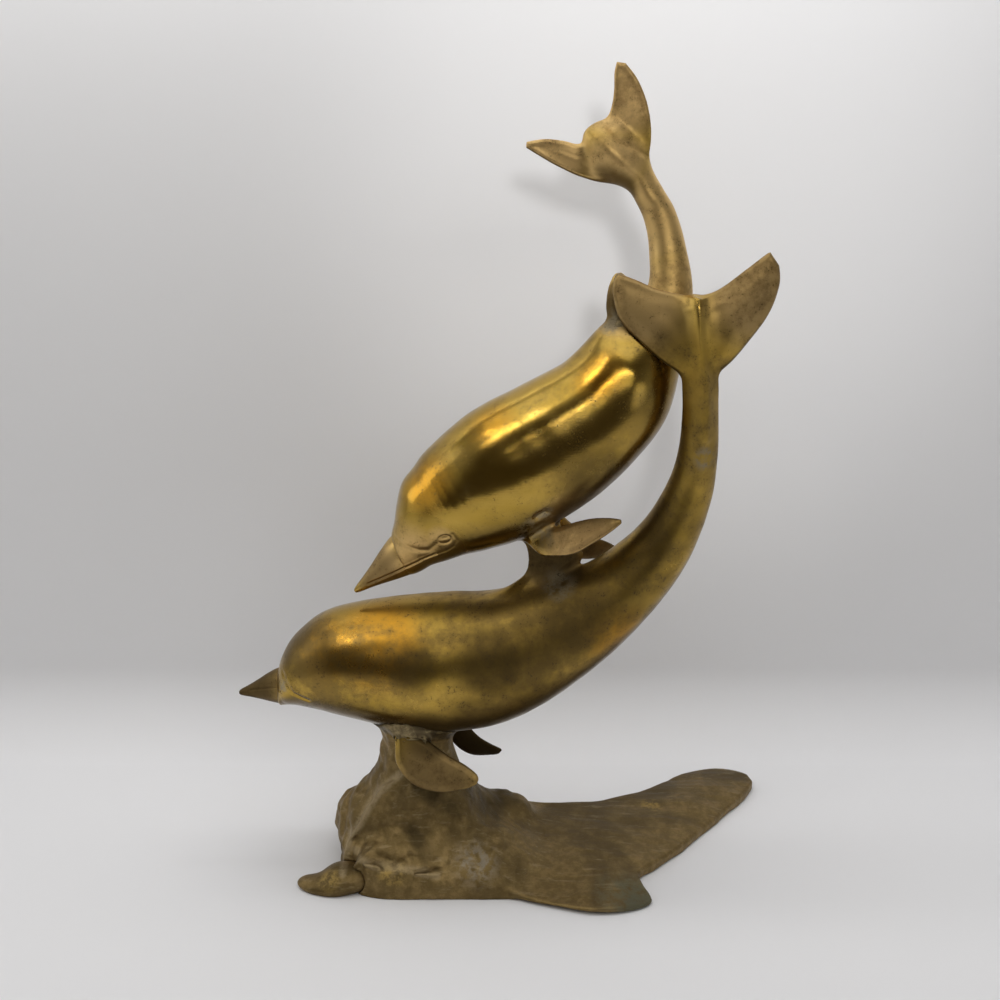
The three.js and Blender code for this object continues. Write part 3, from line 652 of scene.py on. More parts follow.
class Value:
    """A number in a shader, with the sums that the finishes use."""

    def __init__(self, finish, socket):
        self.finish, self.socket = finish, socket

    def math(self, operation, a, b=0.0):
        made = self.finish.node("ShaderNodeMath", {"operation": operation})
        self.finish.put(made.inputs[0], a)
        self.finish.put(made.inputs[1], b)
        return Value(self.finish, made.outputs[0])

    def __add__(self, other):
        return self.math("ADD", self, other)

    def __radd__(self, other):
        return self.math("ADD", other, self)

    def __sub__(self, other):
        return self.math("SUBTRACT", self, other)

    def __rsub__(self, other):
        return self.math("SUBTRACT", other, self)

    def __mul__(self, other):
        return self.math("MULTIPLY", self, other)

    def __rmul__(self, other):
        return self.math("MULTIPLY", other, self)

    def most(self, other):
        return self.math("MAXIMUM", self, other)

    def ramp(self, low, high):
        """0 below low, 1 above high, and smooth between."""
        made = self.finish.node("ShaderNodeMapRange", {"interpolation_type": "SMOOTHSTEP"})
        for key, value in (("Value", self), ("From Min", low), ("From Max", high)):
            self.finish.put(made.inputs[key], value)
        return Value(self.finish, made.outputs[0])


def dolphin_brass(name, brown, pale, gloss, dulled, softened, painted_shade, painted_highlights, welds):
    """Old brass, polished by hand rubbing: gold with painted orange highlights under brown tarnish, satin
    on the fins, painted shade below and in listed spots. brown is the tarnish's strength, pale the satin's
    lightness, gloss the least roughness."""
    f = Finish(bpy.data.materials.new(name))
    cloud = f.noise(17, 3, seed=3, warp=0.6)
    mottle = f.noise(140, 4, seed=7, rough=0.7)
    speck = f.noise(900, 2, seed=1)
    rub = f.noise(60, 3, stretch=(0.4, 1, 1.6), seed=5, turn=(0, 25, 0))
    fine = f.noise(900, 3, stretch=(0.1, 1, 1.8), seed=8, turn=(0, 20, 0))
    dull = f.nearest(dulled)
    # Painted shade and painted dark reflections, in the listed spots.
    dark = f.nearest(painted_shade)
    gold = f.mix(rub.ramp(0.35, 0.65) * 0.5, (0.47, 0.305, 0.055, 1), (0.58, 0.385, 0.09, 1))
    # Painted highlights: orange spots where the lamps' reflections fall.
    warm = f.mix(f.nearest(painted_highlights) * 0.8, gold, (0.62, 0.30, 0.025, 1))
    tarnish = (cloud * 0.62 + mottle * 0.38).ramp(0.40, 0.62) * brown
    aged = f.mix(tarnish, warm, (0.22, 0.145, 0.045, 1))
    tones = ((0.40, 0.275, 0.12), (0.25, 0.165, 0.07))
    light, shade = [(r * pale, g * pale, b * pale, 1) for r, g, b in tones]
    satin = f.mix((cloud * 0.5 + mottle * 0.5).ramp(0.42, 0.6), light, shade)
    mixed = f.mix(dull * 0.9, aged, satin)
    # Painted shade: surfaces that look down turn dark brown, as do the listed spots.
    below = f.facing_down().ramp(0.2, 0.62)
    shaded = f.mix((dark * 0.8).most(below * 0.82), mixed, (0.065, 0.043, 0.016, 1))
    spots = (mottle * 0.45 + speck * 0.55).ramp(0.57, 0.66) * (0.2 + brown * 0.5)
    weld = f.nearest(welds) * mottle.ramp(0.36, 0.6)
    filled = f.mix(weld * 0.8, shaded, (0.34, 0.29, 0.19, 1))
    color = f.mix(spots, filled, (0.085, 0.06, 0.03, 1))
    soft = dull.most(f.nearest(softened))
    rough = gloss + rub * 0.05 + tarnish * 0.12 + spots * 0.2 + soft * 0.28 + dark * 0.1 + weld * 0.2
    return f.done(color, rough, fine * 0.3 + mottle * (0.5 + weld * 2) + speck * 0.2, 0.16, 0.0004)


def braze_metal():
    """Filler metal: a little greyer and darker than the castings, left rough and brushed with tarnish."""
    f = Finish(bpy.data.materials.new("braze metal"))
    mottle = f.noise(230, 5, seed=14, rough=0.75)
    cloud = f.noise(60, 3, seed=15, warp=0.5)
    patch = (mottle * 0.6 + cloud * 0.4).ramp(0.42, 0.6)
    color = f.mix(patch, (0.13, 0.10, 0.055, 1), (0.37, 0.29, 0.15, 1))
    return f.done(color, 0.36 + mottle * 0.2, mottle, 0.5, 0.0007)


# Spots of a finish: a middle in millimetres, a reach and perhaps a strength.
near_paddle = seat_on(lower_loft, 7, -1) + (22, -32, -14)
far_paddle = seat_on(lower_loft, 8, -1) + (12, 28, -22)
dorsal_root = seat_on(lower_loft, 10, 1) + (0, 0, 12)
lower_dulled = [
    ((60, -16, 247), 38), ((122, -18, 253), 38), (near_paddle, 34), (far_paddle, 34), (dorsal_root, 26),
    ((-150, 0, 25), 26),
]
lower_softened = [
    ((90, -18, 215), 34), ((97, -18, 165), 60, 0.4), ((24, -14, 80), 60, 0.55), ((-50, -12, 84), 50, 0.7),
    ((-10, -34, 18), 60, 0.4),
]
# Painted shade and painted dark reflections: the far flipper, the fin roots and the belly in shade, and a
# band along the near flank.
lower_painted_shade = [
    ((-152, 0, 24), 26), (near_paddle, 36, 0.5), (far_paddle, 44, 1.25), (dorsal_root, 24),
    ((-22, -32, 15), 30, 0.75), ((12, -32, 30), 30, 0.7), ((68, -20, 88), 34, 0.6),
    ((98, -18, 180), 50, 0.35), ((24, -20, 90), 26, 0.5), ((-122, -14, 54), 22, 0.5),
    ((-14, -36, 52), 30, 1.0), ((10, -36, 60), 30, 0.8), ((32, -34, 74), 36, 0.9), ((61, -32, 80), 30, 0.8),
    ((84, -26, 125), 34, 0.6), ((-50, -28, 8), 24, 1.0), ((83, -18, 226), 18, 0.6),
    ((-57, -34, 50), 18, 0.8),
]
# Painted orange highlights on the lower head and flank.
lower_painted_highlights = [((-78, -26, 62), 34), ((-104, -20, 55), 24), ((60, -34, 60), 30)]
lower_welds = [((100, -24, 165), 9), ((22, -12, 92), 13), ((-132, -18, 33), 6)]
lower_brass = dolphin_brass("lower dolphin's brass", 0.85, 0.98, 0.18,
                            lower_dulled, lower_softened, lower_painted_shade, lower_painted_highlights, lower_welds)
filler = braze_metal()

# Upper dolphin, measured first because the two touch
# The same construction: it rides above the lower one, its chest on the lower dorsal fin, and its
# tail passes behind the lower fluke.
upper_depth = 76.4
upper_width = 66
upper_tail_offset = 17
upper_stations = [
    [-61, 18.5, 27, 0.188, 0.2, 0],
    [-60, 13.6, 25, 0.314, 0.34, 0],
    [-54, 14.8, 27, 0.418, 0.46, 0],
    [-47, 18.3, 30, 0.527, 0.57, 0],
    [-38, 21.3, 31, 0.664, 0.7, 0],
    [-28, 24.8, 31, 0.75, 0.79, 0],
    [-16, 27.7, 31, 0.86, 0.89, 0],
    [9, 36.5, 28, 1, 1, 0],
    [39, 55, 30, 0.978, 0.97, 0],
    [63, 77.5, 33, 0.871, 0.87, 0],
    [81, 103, 39, 0.778, 0.76, 0.12],
    [89.5, 138, 58, 0.467, 0.5, 0.45],
    [94, 166, 79, 0.328, 0.37, 0.75],
    [90, 191.5, 96, 0.265, 0.3, 0.92],
    [84, 210, 107, 0.23, 0.26, 1],
    [77, 221.5, 110, 0.21, 0.235, 1],
    [70, 232, 118, 0.2, 0.21, 1],
    [62.5, 240, 127, 0.2, 0.2, 1],
    [54.5, 246.5, 132, 0.19, 0.18, 1],
    [50, 250.5, 133, 0.13, 0.13, 1],
]
upper_keel = [(0, 2), (19, 2)]
upper_loft = dolphin_loft(upper_stations, "belly", upper_depth, upper_width, upper_tail_offset, upper_keel)
upper_body = near_only(upper_loft)
upper_beak = near_only(beak_loft(upper_loft, 36, 25, 22, 38, 1.5))
upper_dorsal_sections = [
    [-9.6, -2, -18.2, 24.4, -2, -2.2, 1.1],
    [4.4, -2, 0.8, 23.4, -2, 6.8, 1],
    [2.9, -2, 11.8, 20.4, -2, 16.8, 0.9],
    [3.4, -2, 20.8, 16.4, -2, 23.8, 0.75],
    [5.4, -2, 27.3, 13.4, -2, 28.3, 0.6],
    [7.4, -2, 30.3, 10.4, -2, 30.8, 0.4],
]
upper_left_flipper_sections = [
    [-7, -4, -1.5, 1, -2, 14.5, 1.2],
    [2, -16, -7.5, 6, -12, 9.5, 1],
    [8, -22, -7, 13, -16, 8, 0.9],
    [20, -30, -3, 22, -20, 12, 0.9],
    [32, -32, 4, 32, -24, 15, 0.8],
    [40, -34, 11, 40.5, -29.5, 17, 0.7],
    [45, -34.5, 15.8, 45, -33, 17.4, 0.5],
]
upper_right_flipper_sections = [
    [-7, 6, -1.5, 11, 4, 14.5, 1.2],
    [5, 15, -11.5, 21, 14, 1.5, 1],
    [17, 23, -20.5, 35, 21, -9.5, 0.9],
    [29, 27, -24.5, 44, 26, -14.5, 0.8],
    [39, 29, -24.5, 48, 28, -17.5, 0.7],
    [45, 30, -23.5, 49, 30, -19.5, 0.5],
]
upper_fluke_sections = [
    [-59.8, -1.5, 15.1, -59.3, -1.5, 18.1, 0.5],
    [-52.3, -1.5, 10.6, -49.3, -1.5, 19.6, 0.7],
    [-41.3, -0.5, 4.6, -39.3, -0.5, 18.6, 0.9],
    [-29.3, -0.5, -0.4, -30.3, -0.5, 16.6, 1],
    [-17.3, 0, -2.4, -27.3, 0, 22.6, 1.2],
    [-3.3, 0, 3.6, -22.3, 0, 26.6, 1.3],
    [4.7, 0, 11.6, -17.3, 0, 30.1, 1.2],
    [6.2, -0.5, 23.6, -14.8, -0.5, 36.6, 1],
    [3.7, -0.5, 37.6, -13.8, -0.5, 44.6, 0.9],
    [-1.8, -1.5, 49.6, -13.8, -1.5, 52.6, 0.7],
    [-8.3, -1.5, 57.6, -12.8, -1.5, 58.1, 0.5],
]
upper_dorsal = near_only(Blade(seat_on(upper_loft, 10, 1), upper_dorsal_sections, 7))
upper_left_flipper = near_only(Blade(seat_on(upper_loft, 7, -1), upper_left_flipper_sections, 5))
upper_right_flipper = near_only(Blade(seat_on(upper_loft, 7, -1), upper_right_flipper_sections, 5))
upper_fluke = near_only(Blade(seat_on(upper_loft, 16, 0), upper_fluke_sections, 5.5, 1.3, 5, 3, 0.75, 0.2))
upper_hub = stone((48.5, 15.5, 321.5), (15.5, 9, 8), 48)
joint_gap = 0.15
slow_waves = rough(24, 21)
quick_waves = rough(9, 22)


def hand_waves(points):
    """What hand polishing leaves: slow swells and slight flats."""
    return slow_waves(points) * 0.16 + quick_waves(points) * 0.05


def engraved(points, lines):
    """Fine lines cut into both sides of a head, each a path in side view, its width and its depth."""
    flat = points[:, [0, 2]]
    lift = np.zeros(len(points))
    for path, width, deep in lines:
        away = string_of(path, flat)
        lift -= deep * np.exp(-(away / width) ** 2)
        lift += 0.25 * deep * np.exp(-((away - 2.1 * width) / width) ** 2)
    return lift


def with_detail(out, points, detail):
    """Adds a low relief to a distance, only where the surface is near."""
    close = np.abs(out) < 4
    out = out.copy()
    out[close] -= detail(points[close])
    return out


# Lines of the heads: the mouths, the creases round the lower beak and the upper eye.
lower_lines = [
    ([(-153, 23.7), (-150, 24.6), (-141, 27), (-134, 28.5)], 0.6, 0.5),
    ([(-131.5, 40), (-129, 35.5), (-125.5, 30), (-117, 26.4)], 1.0, 0.5),
]
upper_lines = [
    ([(-84, 88.4), (-77, 92), (-65.5, 98.3), (-52, 106.8), (-45, 110.6)], 0.65, 0.5),
    ([(-68, 117.5), (-61, 114.6), (-54, 113), (-48.5, 113.6), (-44.5, 117.6)], 1.3, 0.35),
    ([(-45, 110.6), (-39, 113), (-35, 116.3), (-33.6, 120.5), (-35.5, 124)], 0.9, 0.2),
]
EYE = (-40, 120.6)
EYE_LENGTH, EYE_HEIGHT = 3.6, 2.6
EYE_TURN = math.radians(20)


def upper_face(points):
    """The mouth, the crease over the eye and the rimmed eye, on both sides of the upper head."""
    lift = engraved(points, upper_lines)
    x, z = points[:, 0] - EYE[0], points[:, 2] - EYE[1]
    cos, sin = math.cos(EYE_TURN), math.sin(EYE_TURN)
    x, z = x * cos + z * sin, z * cos - x * sin
    out = np.hypot(x / EYE_LENGTH, z / EYE_HEIGHT)
    return lift + 0.5 * np.exp(-(out / 0.5) ** 2) - 0.42 * np.exp(-((out - 0.95) / 0.26) ** 2)


def relief(points, marks):
    """Raised (above 0) and hollow (below 0) strokes: a path in side view, its half width and its height."""
    flat = points[:, [0, 2]]
    return sum(high * np.exp(-(string_of(path, flat) / wide) ** 2) for path, wide, high in marks)


lower_keel_path = [(90.5, 250), (91.5, 236.7), (93.4, 227.4), (94.8, 218.5), (97.3, 205.8), (98.5, 193),
                   (98.5, 176)]
lower_fluke_marks = [
    (lower_keel_path, 3, 1.3),
    ([(78, 241), (83, 234), (88, 225)], 6, -0.9),
    ([(102.5, 243), (105, 234), (104, 226)], 4.5, -0.9),
    ([(84, 249), (87, 245)], 2.5, 0.6),
]
upper_fluke_marks = [
    ([(48, 334), (53, 328.5), (59, 325.5), (66, 322)], 2.6, -0.8),
    ([(46, 325), (57.8, 313.5), (63.2, 309.4), (70.3, 298.1)], 4, 0.8),
]


LOWER_NECK_X = -108
LOWER_TAIL_X, LOWER_TAIL_Z = 60, 165
UPPER_NECK_X, UPPER_HEAD_TOP = -26, 132
UPPER_TAIL_Z = 290
flipper_dent = [(9, -22, 135.6), (13, -22, 138)]


def lower_dolphin(p):
    """The lower dolphin as one skin, up to where the upper one's chest starts."""
    over = upper_body(p)
    dorsal = lower_dorsal(p)
    out = union(lower_body(p), lower_beak(p), 3)
    out = union(out, dorsal, 9)
    out = union(out, lower_fluke(p), 3.5)
    out = union(out, lower_left_flipper(p), 4)
    out = union(out, lower_right_flipper(p), 4)
    out = with_detail(out, p, hand_waves)
    head = p[:, 0] < LOWER_NECK_X
    out[head] = with_detail(out[head], p[head], lambda q: engraved(q, lower_lines))
    tail = (p[:, 2] > LOWER_TAIL_Z) & (p[:, 0] > LOWER_TAIL_X)
    out[tail] = with_detail(out[tail], p[tail], lambda q: relief(q, lower_fluke_marks))
    out = np.minimum(out, union(dorsal, over, 6))
    return np.maximum(out, joint_gap - over)


def upper_dolphin(p):
    """The upper dolphin as one skin, up to where the lower fluke's lobe starts."""
    lobe = lower_fluke(p)
    dorsal = upper_dorsal(p)
    out = union(upper_body(p), upper_beak(p), 3)
    out = union(out, dorsal, 12)
    out = union(out, union(upper_fluke(p), upper_hub(p), 9), 10)
    out = union(out, upper_left_flipper(p), 5)
    out = union(out, upper_right_flipper(p), 5)
    out = with_detail(out, p, hand_waves)
    head = (p[:, 0] < UPPER_NECK_X) & (p[:, 2] < UPPER_HEAD_TOP)
    out[head] = with_detail(out[head], p[head], upper_face)
    tail = p[:, 2] > UPPER_TAIL_Z
    out[tail] = with_detail(out[tail], p[tail], lambda q: relief(q, upper_fluke_marks))
    out += 2.5 * np.exp(-(string_of(flipper_dent, p) / 3.2) ** 2)
    out = np.minimum(out, union(dorsal, lobe, 3))
    return np.maximum(out, joint_gap - lobe)


def fluke_score(loft, blade, station, beyond_all=99):
    """Owns a fluke's lobes and hub: the blade, and the loft past a station."""
    end = up_to(loft, station, beyond_all)
    return lambda p: np.minimum(end(p), blade(p))


def lower_carving(p, lines=lower_lines, reach=3.5):
    """Where a head is engraved, and so needs smaller faces."""
    flat = p[:, [0, 2]]
    return np.min([string_of(path, flat) for path, *_ in lines], axis=0) < reach


def upper_carving(p, eye_reach=6.5):
    """The same for the upper head, with its eye."""
    eye = np.hypot(*(p[:, [0, 2]] - EYE).T) < eye_reach
    return (lower_carving(p, upper_lines) | eye) & (p[:, 2] < UPPER_HEAD_TOP)


def bead(a, b, reach):
    """Owns the skin of a fillet: where both neighbours are near."""
    return lambda p: np.maximum(a(p), b(p)) - reach


upper_near_paddle = seat_on(upper_loft, 7, -1) + (26, -25, 6)
upper_far_paddle = seat_on(upper_loft, 7, -1) + (30, 24, -12)
upper_dorsal_root = seat_on(upper_loft, 10, 1) + (12, 0, 12)
upper_dulled = [
    ((16, 15, 321), 30), ((52, 15, 352), 31), (upper_near_paddle, 32), (upper_far_paddle, 34),
    (upper_dorsal_root, 24), ((-74, 0, 98), 24), ((-58, -20, 108), 24, 0.8), ((-42, -24, 119), 12, 0.7),
    ((88, 14, 246), 44, 0.7), ((74, 16, 290), 40, 0.8), ((50, 14, 316), 24, 0.9),
]
upper_softened = [((90, 14, 250), 46), ((70, 16, 296), 46), ((50, 16, 322), 30), ((-52, -22, 112), 32)]
# Painted shade under the upper dolphin's beak and belly, on its far flipper and at its fin root.
upper_painted_shade = [
    ((-78, 0, 96), 22, 0.7), (upper_far_paddle, 34), (upper_dorsal_root, 20), ((44, -24, 150), 32, 0.9),
    ((84, -10, 200), 36, 0.5), ((4, -22, 122), 18, 0.7),
]
# Painted orange highlights on the upper dolphin's near side.
upper_painted_highlights = [((-54, -26, 154), 24), ((-20, -28, 192), 24), ((40, -30, 214), 22)]
upper_welds = [((10, -21, 124), 13), ((14, -22, 134), 9), ((-26, -25, 150), 9, 0.5), ((48, -6, 236), 9)]
# Its satin is set nearly twice as pale as the lower dolphin's: painted light on the upper tail and fluke,
# which catch the light from above.
upper_brass = dolphin_brass("upper dolphin's brass", 0.55, 1.9, 0.13,
                            upper_dulled, upper_softened, upper_painted_shade, upper_painted_highlights, upper_welds)

coarse_look = 1
pieces_of(lower_dolphin, {
    "lower_body": (up_to(lower_loft, 0, 14), lower_brass, "polished_brass",
                   "lower_body_left_half", "lower_body_right_half"),
    "lower_tail": (up_to(lower_loft, 14, 16), lower_brass, "polished_brass", "lower_tail_stock"),
    "lower_fluke_lobes": (fluke_score(lower_loft, lower_fluke, 16), lower_brass, "dull_brass",
                          "lower_fluke"),
    "lower_beak_jaws": (lower_beak, lower_brass, "polished_brass", "lower_beak"),
    "beak_seam": (bead(lower_body, lower_beak, 1.0), filler, "braze_metal", "beak_braze"),
    "lower_dorsal_blade": (lower_dorsal, lower_brass, "dull_brass", "lower_dorsal_fin"),
    "chest_seam": (bead(lower_dorsal, upper_body, 1.8), filler, "braze_metal", "chest_braze"),
    "lower_left_paddle": (lower_left_flipper, lower_brass, "dull_brass", "lower_left_flipper"),
    "lower_right_paddle": (lower_right_flipper, lower_brass, "dull_brass", "lower_right_flipper"),
}, (-162, -44, -44), (140, 46, 280), 1.0 * coarse_look, lower_carving)

pieces_of(upper_dolphin, {
    "upper_body": (up_to(upper_loft, 0, 12), upper_brass, "polished_brass",
                   "upper_body_left_half", "upper_body_right_half"),
    "upper_tail": (up_to(upper_loft, 12, 16), upper_brass, "polished_brass", "upper_tail_stock"),
    "upper_fluke_lobes": (fluke_score(upper_loft, upper_fluke, 16), upper_brass, "dull_brass",
                          "upper_fluke"),
    "upper_beak_jaws": (upper_beak, upper_brass, "polished_brass", "upper_beak"),
    "upper_dorsal_blade": (upper_dorsal, upper_brass, "dull_brass", "upper_dorsal_fin"),
    "lobe_seam": (bead(upper_dorsal, lower_fluke, 1.0), filler, "braze_metal", "lobe_braze"),
    "upper_left_paddle": (upper_left_flipper, upper_brass, "dull_brass", "upper_left_flipper"),
    "upper_right_paddle": (upper_right_flipper, upper_brass, "dull_brass", "upper_right_flipper"),
}, (-98, -42, 76), (106, 42, 374), 0.94 * coarse_look, upper_carving)

# Rock
# A hollow sand casting, thin walled and open below, with boulders at both ends of its back. Its
# outline is given at rising heights, each by twelve points that go round from the front left.
rock_levels = [
    [0, -97, -34, -80, -47, -46, -46, -12, -44, -2, -22, 5, 0,
     6, 20, -4, 44, -36, 56, -74, 50, -98, 30, -103, 0],
    [0.095, -96, -32, -80, -43, -46, -43, -12, -41, -2, -22, 5, 0,
     5, 20, -6, 43, -36, 54, -74, 48, -99, 28, -105, 0],
    [0.238, -94, -26, -78, -32, -48, -34, -20, -30, -10, -18, -5, 0,
     -3, 16, -14, 34, -40, 46, -74, 42, -101, 24, -107, 2],
    [0.429, -90, -20, -74, -24, -50, -26, -30, -22, -23, -12, -19, 1,
     -19, 14, -28, 26, -46, 36, -72, 34, -92, 20, -101, 4],
    [0.643, -80, -16, -70, -22, -56, -24, -41, -20, -34, -10, -31, -1,
     -34, 10, -42, 18, -53, 24, -66, 24, -80, 14, -86, 2],
    [0.857, -75, -12, -67, -16, -58, -18, -47, -14, -39, -8, -36, 0,
     -38, 8, -44, 14, -54, 17, -66, 15, -74, 9, -79, 0],
    [1.071, -74, -10, -66, -14, -57, -14, -48, -12, -42, -8, -39, 0,
     -41, 7, -47, 12, -56, 14, -66, 13, -73, 8, -77, 0],
]
ROCK_WALL = 5
HOLLOW_TOP = 0.62


class Mound:
    """An upright form with an outline for each height, measured outwards from its middle line."""

    def __init__(self, levels, around=96, steps=8):
        angles = np.linspace(-math.pi, math.pi, around, endpoint=False)
        rows = []
        for share, *flat in levels:
            ring = np.array(flat, float).reshape(-1, 2)
            wrapped = np.concatenate([ring[-2:], ring, ring[:3]])
            curve = smooth_rows(wrapped, 16)[2 * 16:-3 * 16]
            middle = ring.mean(0)
            spoke = curve - middle
            angle = np.arctan2(spoke[:, 1], spoke[:, 0])
            order = np.argsort(angle)
            reach = np.interp(angles, angle[order], np.hypot(*spoke.T)[order], period=2 * math.pi)
            rows.append([(share - 1) * STAND_HEIGHT, *middle, *reach])
        rows = smooth_rows(rows, steps)
        self.z, self.middle, self.reach = rows[:, 0], rows[:, 1:3], rows[:, 3:]
        lean = np.abs(np.gradient(self.reach, self.z, axis=0))
        self.ease = 1 / np.sqrt(1 + lean ** 2)

    def __call__(self, points):
        k = np.clip(np.interp(points[:, 2], self.z, np.arange(len(self.z))), 0, len(self.z) - 1.001)
        i = k.astype(int)
        u = k - i
        middle = self.middle[i] * (1 - u)[:, None] + self.middle[i + 1] * u[:, None]
        x, y = points[:, 0] - middle[:, 0], points[:, 1] - middle[:, 1]
        around = self.reach.shape[1]
        a = (np.arctan2(y, x) / (2 * math.pi) + 0.5) * around
        j = a.astype(int)
        v = a - j

        def pick(table):
            first = table[i, j % around] * (1 - v) + table[i, (j + 1) % around] * v
            second = table[i + 1, j % around] * (1 - v) + table[i + 1, (j + 1) % around] * v
            return first * (1 - u) + second * u

        return (np.hypot(x, y) - pick(self.reach)) * pick(self.ease)


mound = Mound(rock_levels)
right_boulder = stone((-7, 21, -65), (18, 13, 12), 16)
right_lump = stone((-21, 12, -57), (9, 9, 8), 30)
left_boulder = stone((-94, 14, -62), (13, 15, 15), -20)
left_slab = stone((-90.5, 6, -51), (7, 15, 24), 28)
slope_foot = stone((-22, -16, -84), (38, 30, 26), 12)
front_lump = stone((-77, -36, -70), (12, 9, 7), 10)
foot_ledge = stone((-58, -38, -79), (30, 10, 9))
big_rough = rough(15, 3)
small_rough = rough(5.5, 4)
fine_rough = rough(2.4, 5)
crease_rough = rough(20, 31)
ridge = [(-64, -22, -19), (-72, -20, -26), (-79, -19, -33), (-85, -20, -42), (-91, -21, -53),
         (-97, -21, -62), (-99, -25, -71)]
crest = [(-95, -38, -66), (-76, -46, -66), (-62, -47, -69), (-45, -44, -71)]
# Folds along the ridge and the crest: a path, its shift, its height and its half width.
folds = [(ridge, (0, 0, 0), 2.2, 2), (ridge, (6, -4, 0), -1.4, 3.5), (ridge, (-6, 2, 0), -1.0, 3),
         (crest, (0, 0, 0), 1.3, 1.5), (crest, (1, 4, 3.5), -1.0, 2.4)]
# Pits: a middle, a half width and a depth.
pits = [((-62.5, -28, -54), 2.6, 2.2), ((-38.6, -25, -44), 3.0, 1.8), ((-55, -30, -66), 3.4, 1.2),
        ((-47, -24, -31), 6, 1.2), ((-30, -27, -57), 3, 1.4), ((-72, -40, -74), 2.4, 1.4),
        ((-48, -16, -4), 5, 2), ((-48, -30, -46), 13, 2.0)]


DEEPEST = 3
SLAB_EDGE = -84


def rock_relief(p):
    """How far the casting's rough skin stands out, levelled towards the table."""
    lift = big_rough(p) * 0.8 + small_rough(p) * 0.4 + fine_rough(p) * 0.14 - np.abs(crease_rough(p)) * 1.1
    slab = np.clip((SLAB_EDGE - p[:, 0]) / 10, 0, 1)
    lift += slab * small_rough(p * (1, 1, 0.4)) * 0.8
    for path, shift, high, wide in folds:
        lift += high * np.exp(-(string_of(path + np.array(shift), p) / wide) ** 2)
    for at, wide, deep in pits:
        lift -= deep * np.exp(-((p - np.array(at)) ** 2).sum(1) / wide ** 2)
    return np.maximum(lift, -DEEPEST) * np.clip((STAND_HEIGHT + p[:, 2]) / 6, 0, 1)


# What stands on the mound, each with its fillet.
lumps = [(left_boulder, 5), (left_slab, 2.5), (right_boulder, 5), (right_lump, 5), (slope_foot, 12),
         (front_lump, 10), (foot_ledge, 9)]


def rock(p):
    out = mound(p)
    for lump, fillet in lumps:
        out = union(out, lump(p), fillet)
    close = np.abs(out) < 9
    out[close] -= rock_relief(p[close])
    return out


def rock_hollow(p):
    return np.maximum(mound(p) + ROCK_WALL, p[:, 2] + (1 - HOLLOW_TOP) * STAND_HEIGHT)


# Wave plate
# A thin plate cast as one wave running out from the rock, with its front rim lifted off the table.
# Rows of a front and a rear rim point, with the height at each, run from the rock to the tip.
wave_rows = [
    [-30, -34, -30, 30, 10, 18],
    [-8, -46, -4, 36, 5, 16],
    [8, -54, 18, 40, 4, 14],
    [24, -60, 40, 45, 4, 12],
    [42, -65, 60, 53, 4, 10],
    [62, -62, 76, 61, 4, 9],
    [75, -54, 88, 71, 4, 8],
    [71, -39, 100, 83, 4, 7],
    [71.5, -28, 110, 92, 5, 7],
    [90, -8, 123, 98, 5, 7],
    [118, 28, 132, 100.2, 5, 7],
    [142, 60, 141, 99, 5, 6],
    [153, 78, 149, 95, 4.5, 5],
    [155, 84, 153, 91.5, 4, 4],
]


class Plate:
    """A sheet on the table with a given outline, a swelling top and a rounded rim."""

    def __init__(self, rows, swell, rim):
        rows = smooth_rows(rows, 6)
        front, rear = rows[:, 0:2], rows[:, 2:4]
        self.loop = np.concatenate([front, rear[::-1]])
        share = np.linspace(0, 1, 7)[:, None, None]
        ground = front * (1 - share) + rear * share
        top = rows[:, 4] + (rows[:, 5] - rows[:, 4]) * share[..., 0] + swell * np.sin(np.pi * share[..., 0])
        self.middle, self.half = self.loop.mean(0), np.abs(self.loop - self.loop.mean(0)).max()
        self.fit = np.linalg.lstsq(self.powers(ground.reshape(-1, 2)), top.ravel(), rcond=1e-5)[0]
        self.rim = rim

    def powers(self, flat):
        return products((flat - self.middle) / self.half, 4)

    def __call__(self, points):
        inside = -outline_distance(points[:, :2], self.loop)
        floor = -STAND_HEIGHT
        lip = np.exp(-((points[:, 0] - 25) / 30) ** 2) * (points[:, 1] < 0)
        under = floor + 2.2 * lip * np.clip(1 - inside / 14, 0, 1)
        top = floor + np.clip(self.powers(points[:, :2]) @ self.fit, 3.4, 20)
        above = np.maximum(points[:, 2] - top, under - points[:, 2]) + self.rim
        return rounded(self.rim - inside, above, self.rim)


plate = Plate(wave_rows, 3.5, 1.6)
wave_rough = rough(14, 8)
wave_grain = rough(4, 9)


def wave(p):
    out = plate(p)
    close = out < 8
    q = p[close]
    out[close] -= wave_rough(q) * 0.4 + wave_grain(q * (0.35, 1, 1)) * 0.12
    return np.maximum(out, -STAND_HEIGHT - p[:, 2])


# Toe stone
# A solid pebble cast in front of the rock's left corner, ground flat below.
PEBBLE_SUNK = 1.5
pebble_back = stone((-97, -33, 7 - PEBBLE_SUNK - STAND_HEIGHT), (14, 12, 8), 0, -22)
pebble_nose = stone((-112, -38, 4 - PEBBLE_SUNK - STAND_HEIGHT), (14.5, 8, 5), 0, -20)
pebble_rough = rough(9, 12)


def pebble(p):
    core = union(pebble_back(p), pebble_nose(p), 9)
    return np.maximum(core - pebble_rough(p) * 0.5, -STAND_HEIGHT - p[:, 2])


def base(p):
    """Rock and wave as one skin, with fillets up to the belly and the near flipper."""
    body = lower_body(p)
    out = union(rock(p), wave(p), 12)
    out = np.maximum(out, -rock_hollow(p))
    out = np.minimum(out, union(out, body, 13))
    out = np.maximum(out, -STAND_HEIGHT - p[:, 2])
    out = np.maximum(out, joint_gap - body)
    paddle = lower_left_flipper(p)
    out = np.minimum(out, union(out, paddle, 9))
    out = np.maximum(out, joint_gap - paddle)
    out = np.maximum(out, joint_gap - lower_right_flipper(p))
    return np.maximum(out, joint_gap - pebble(p))


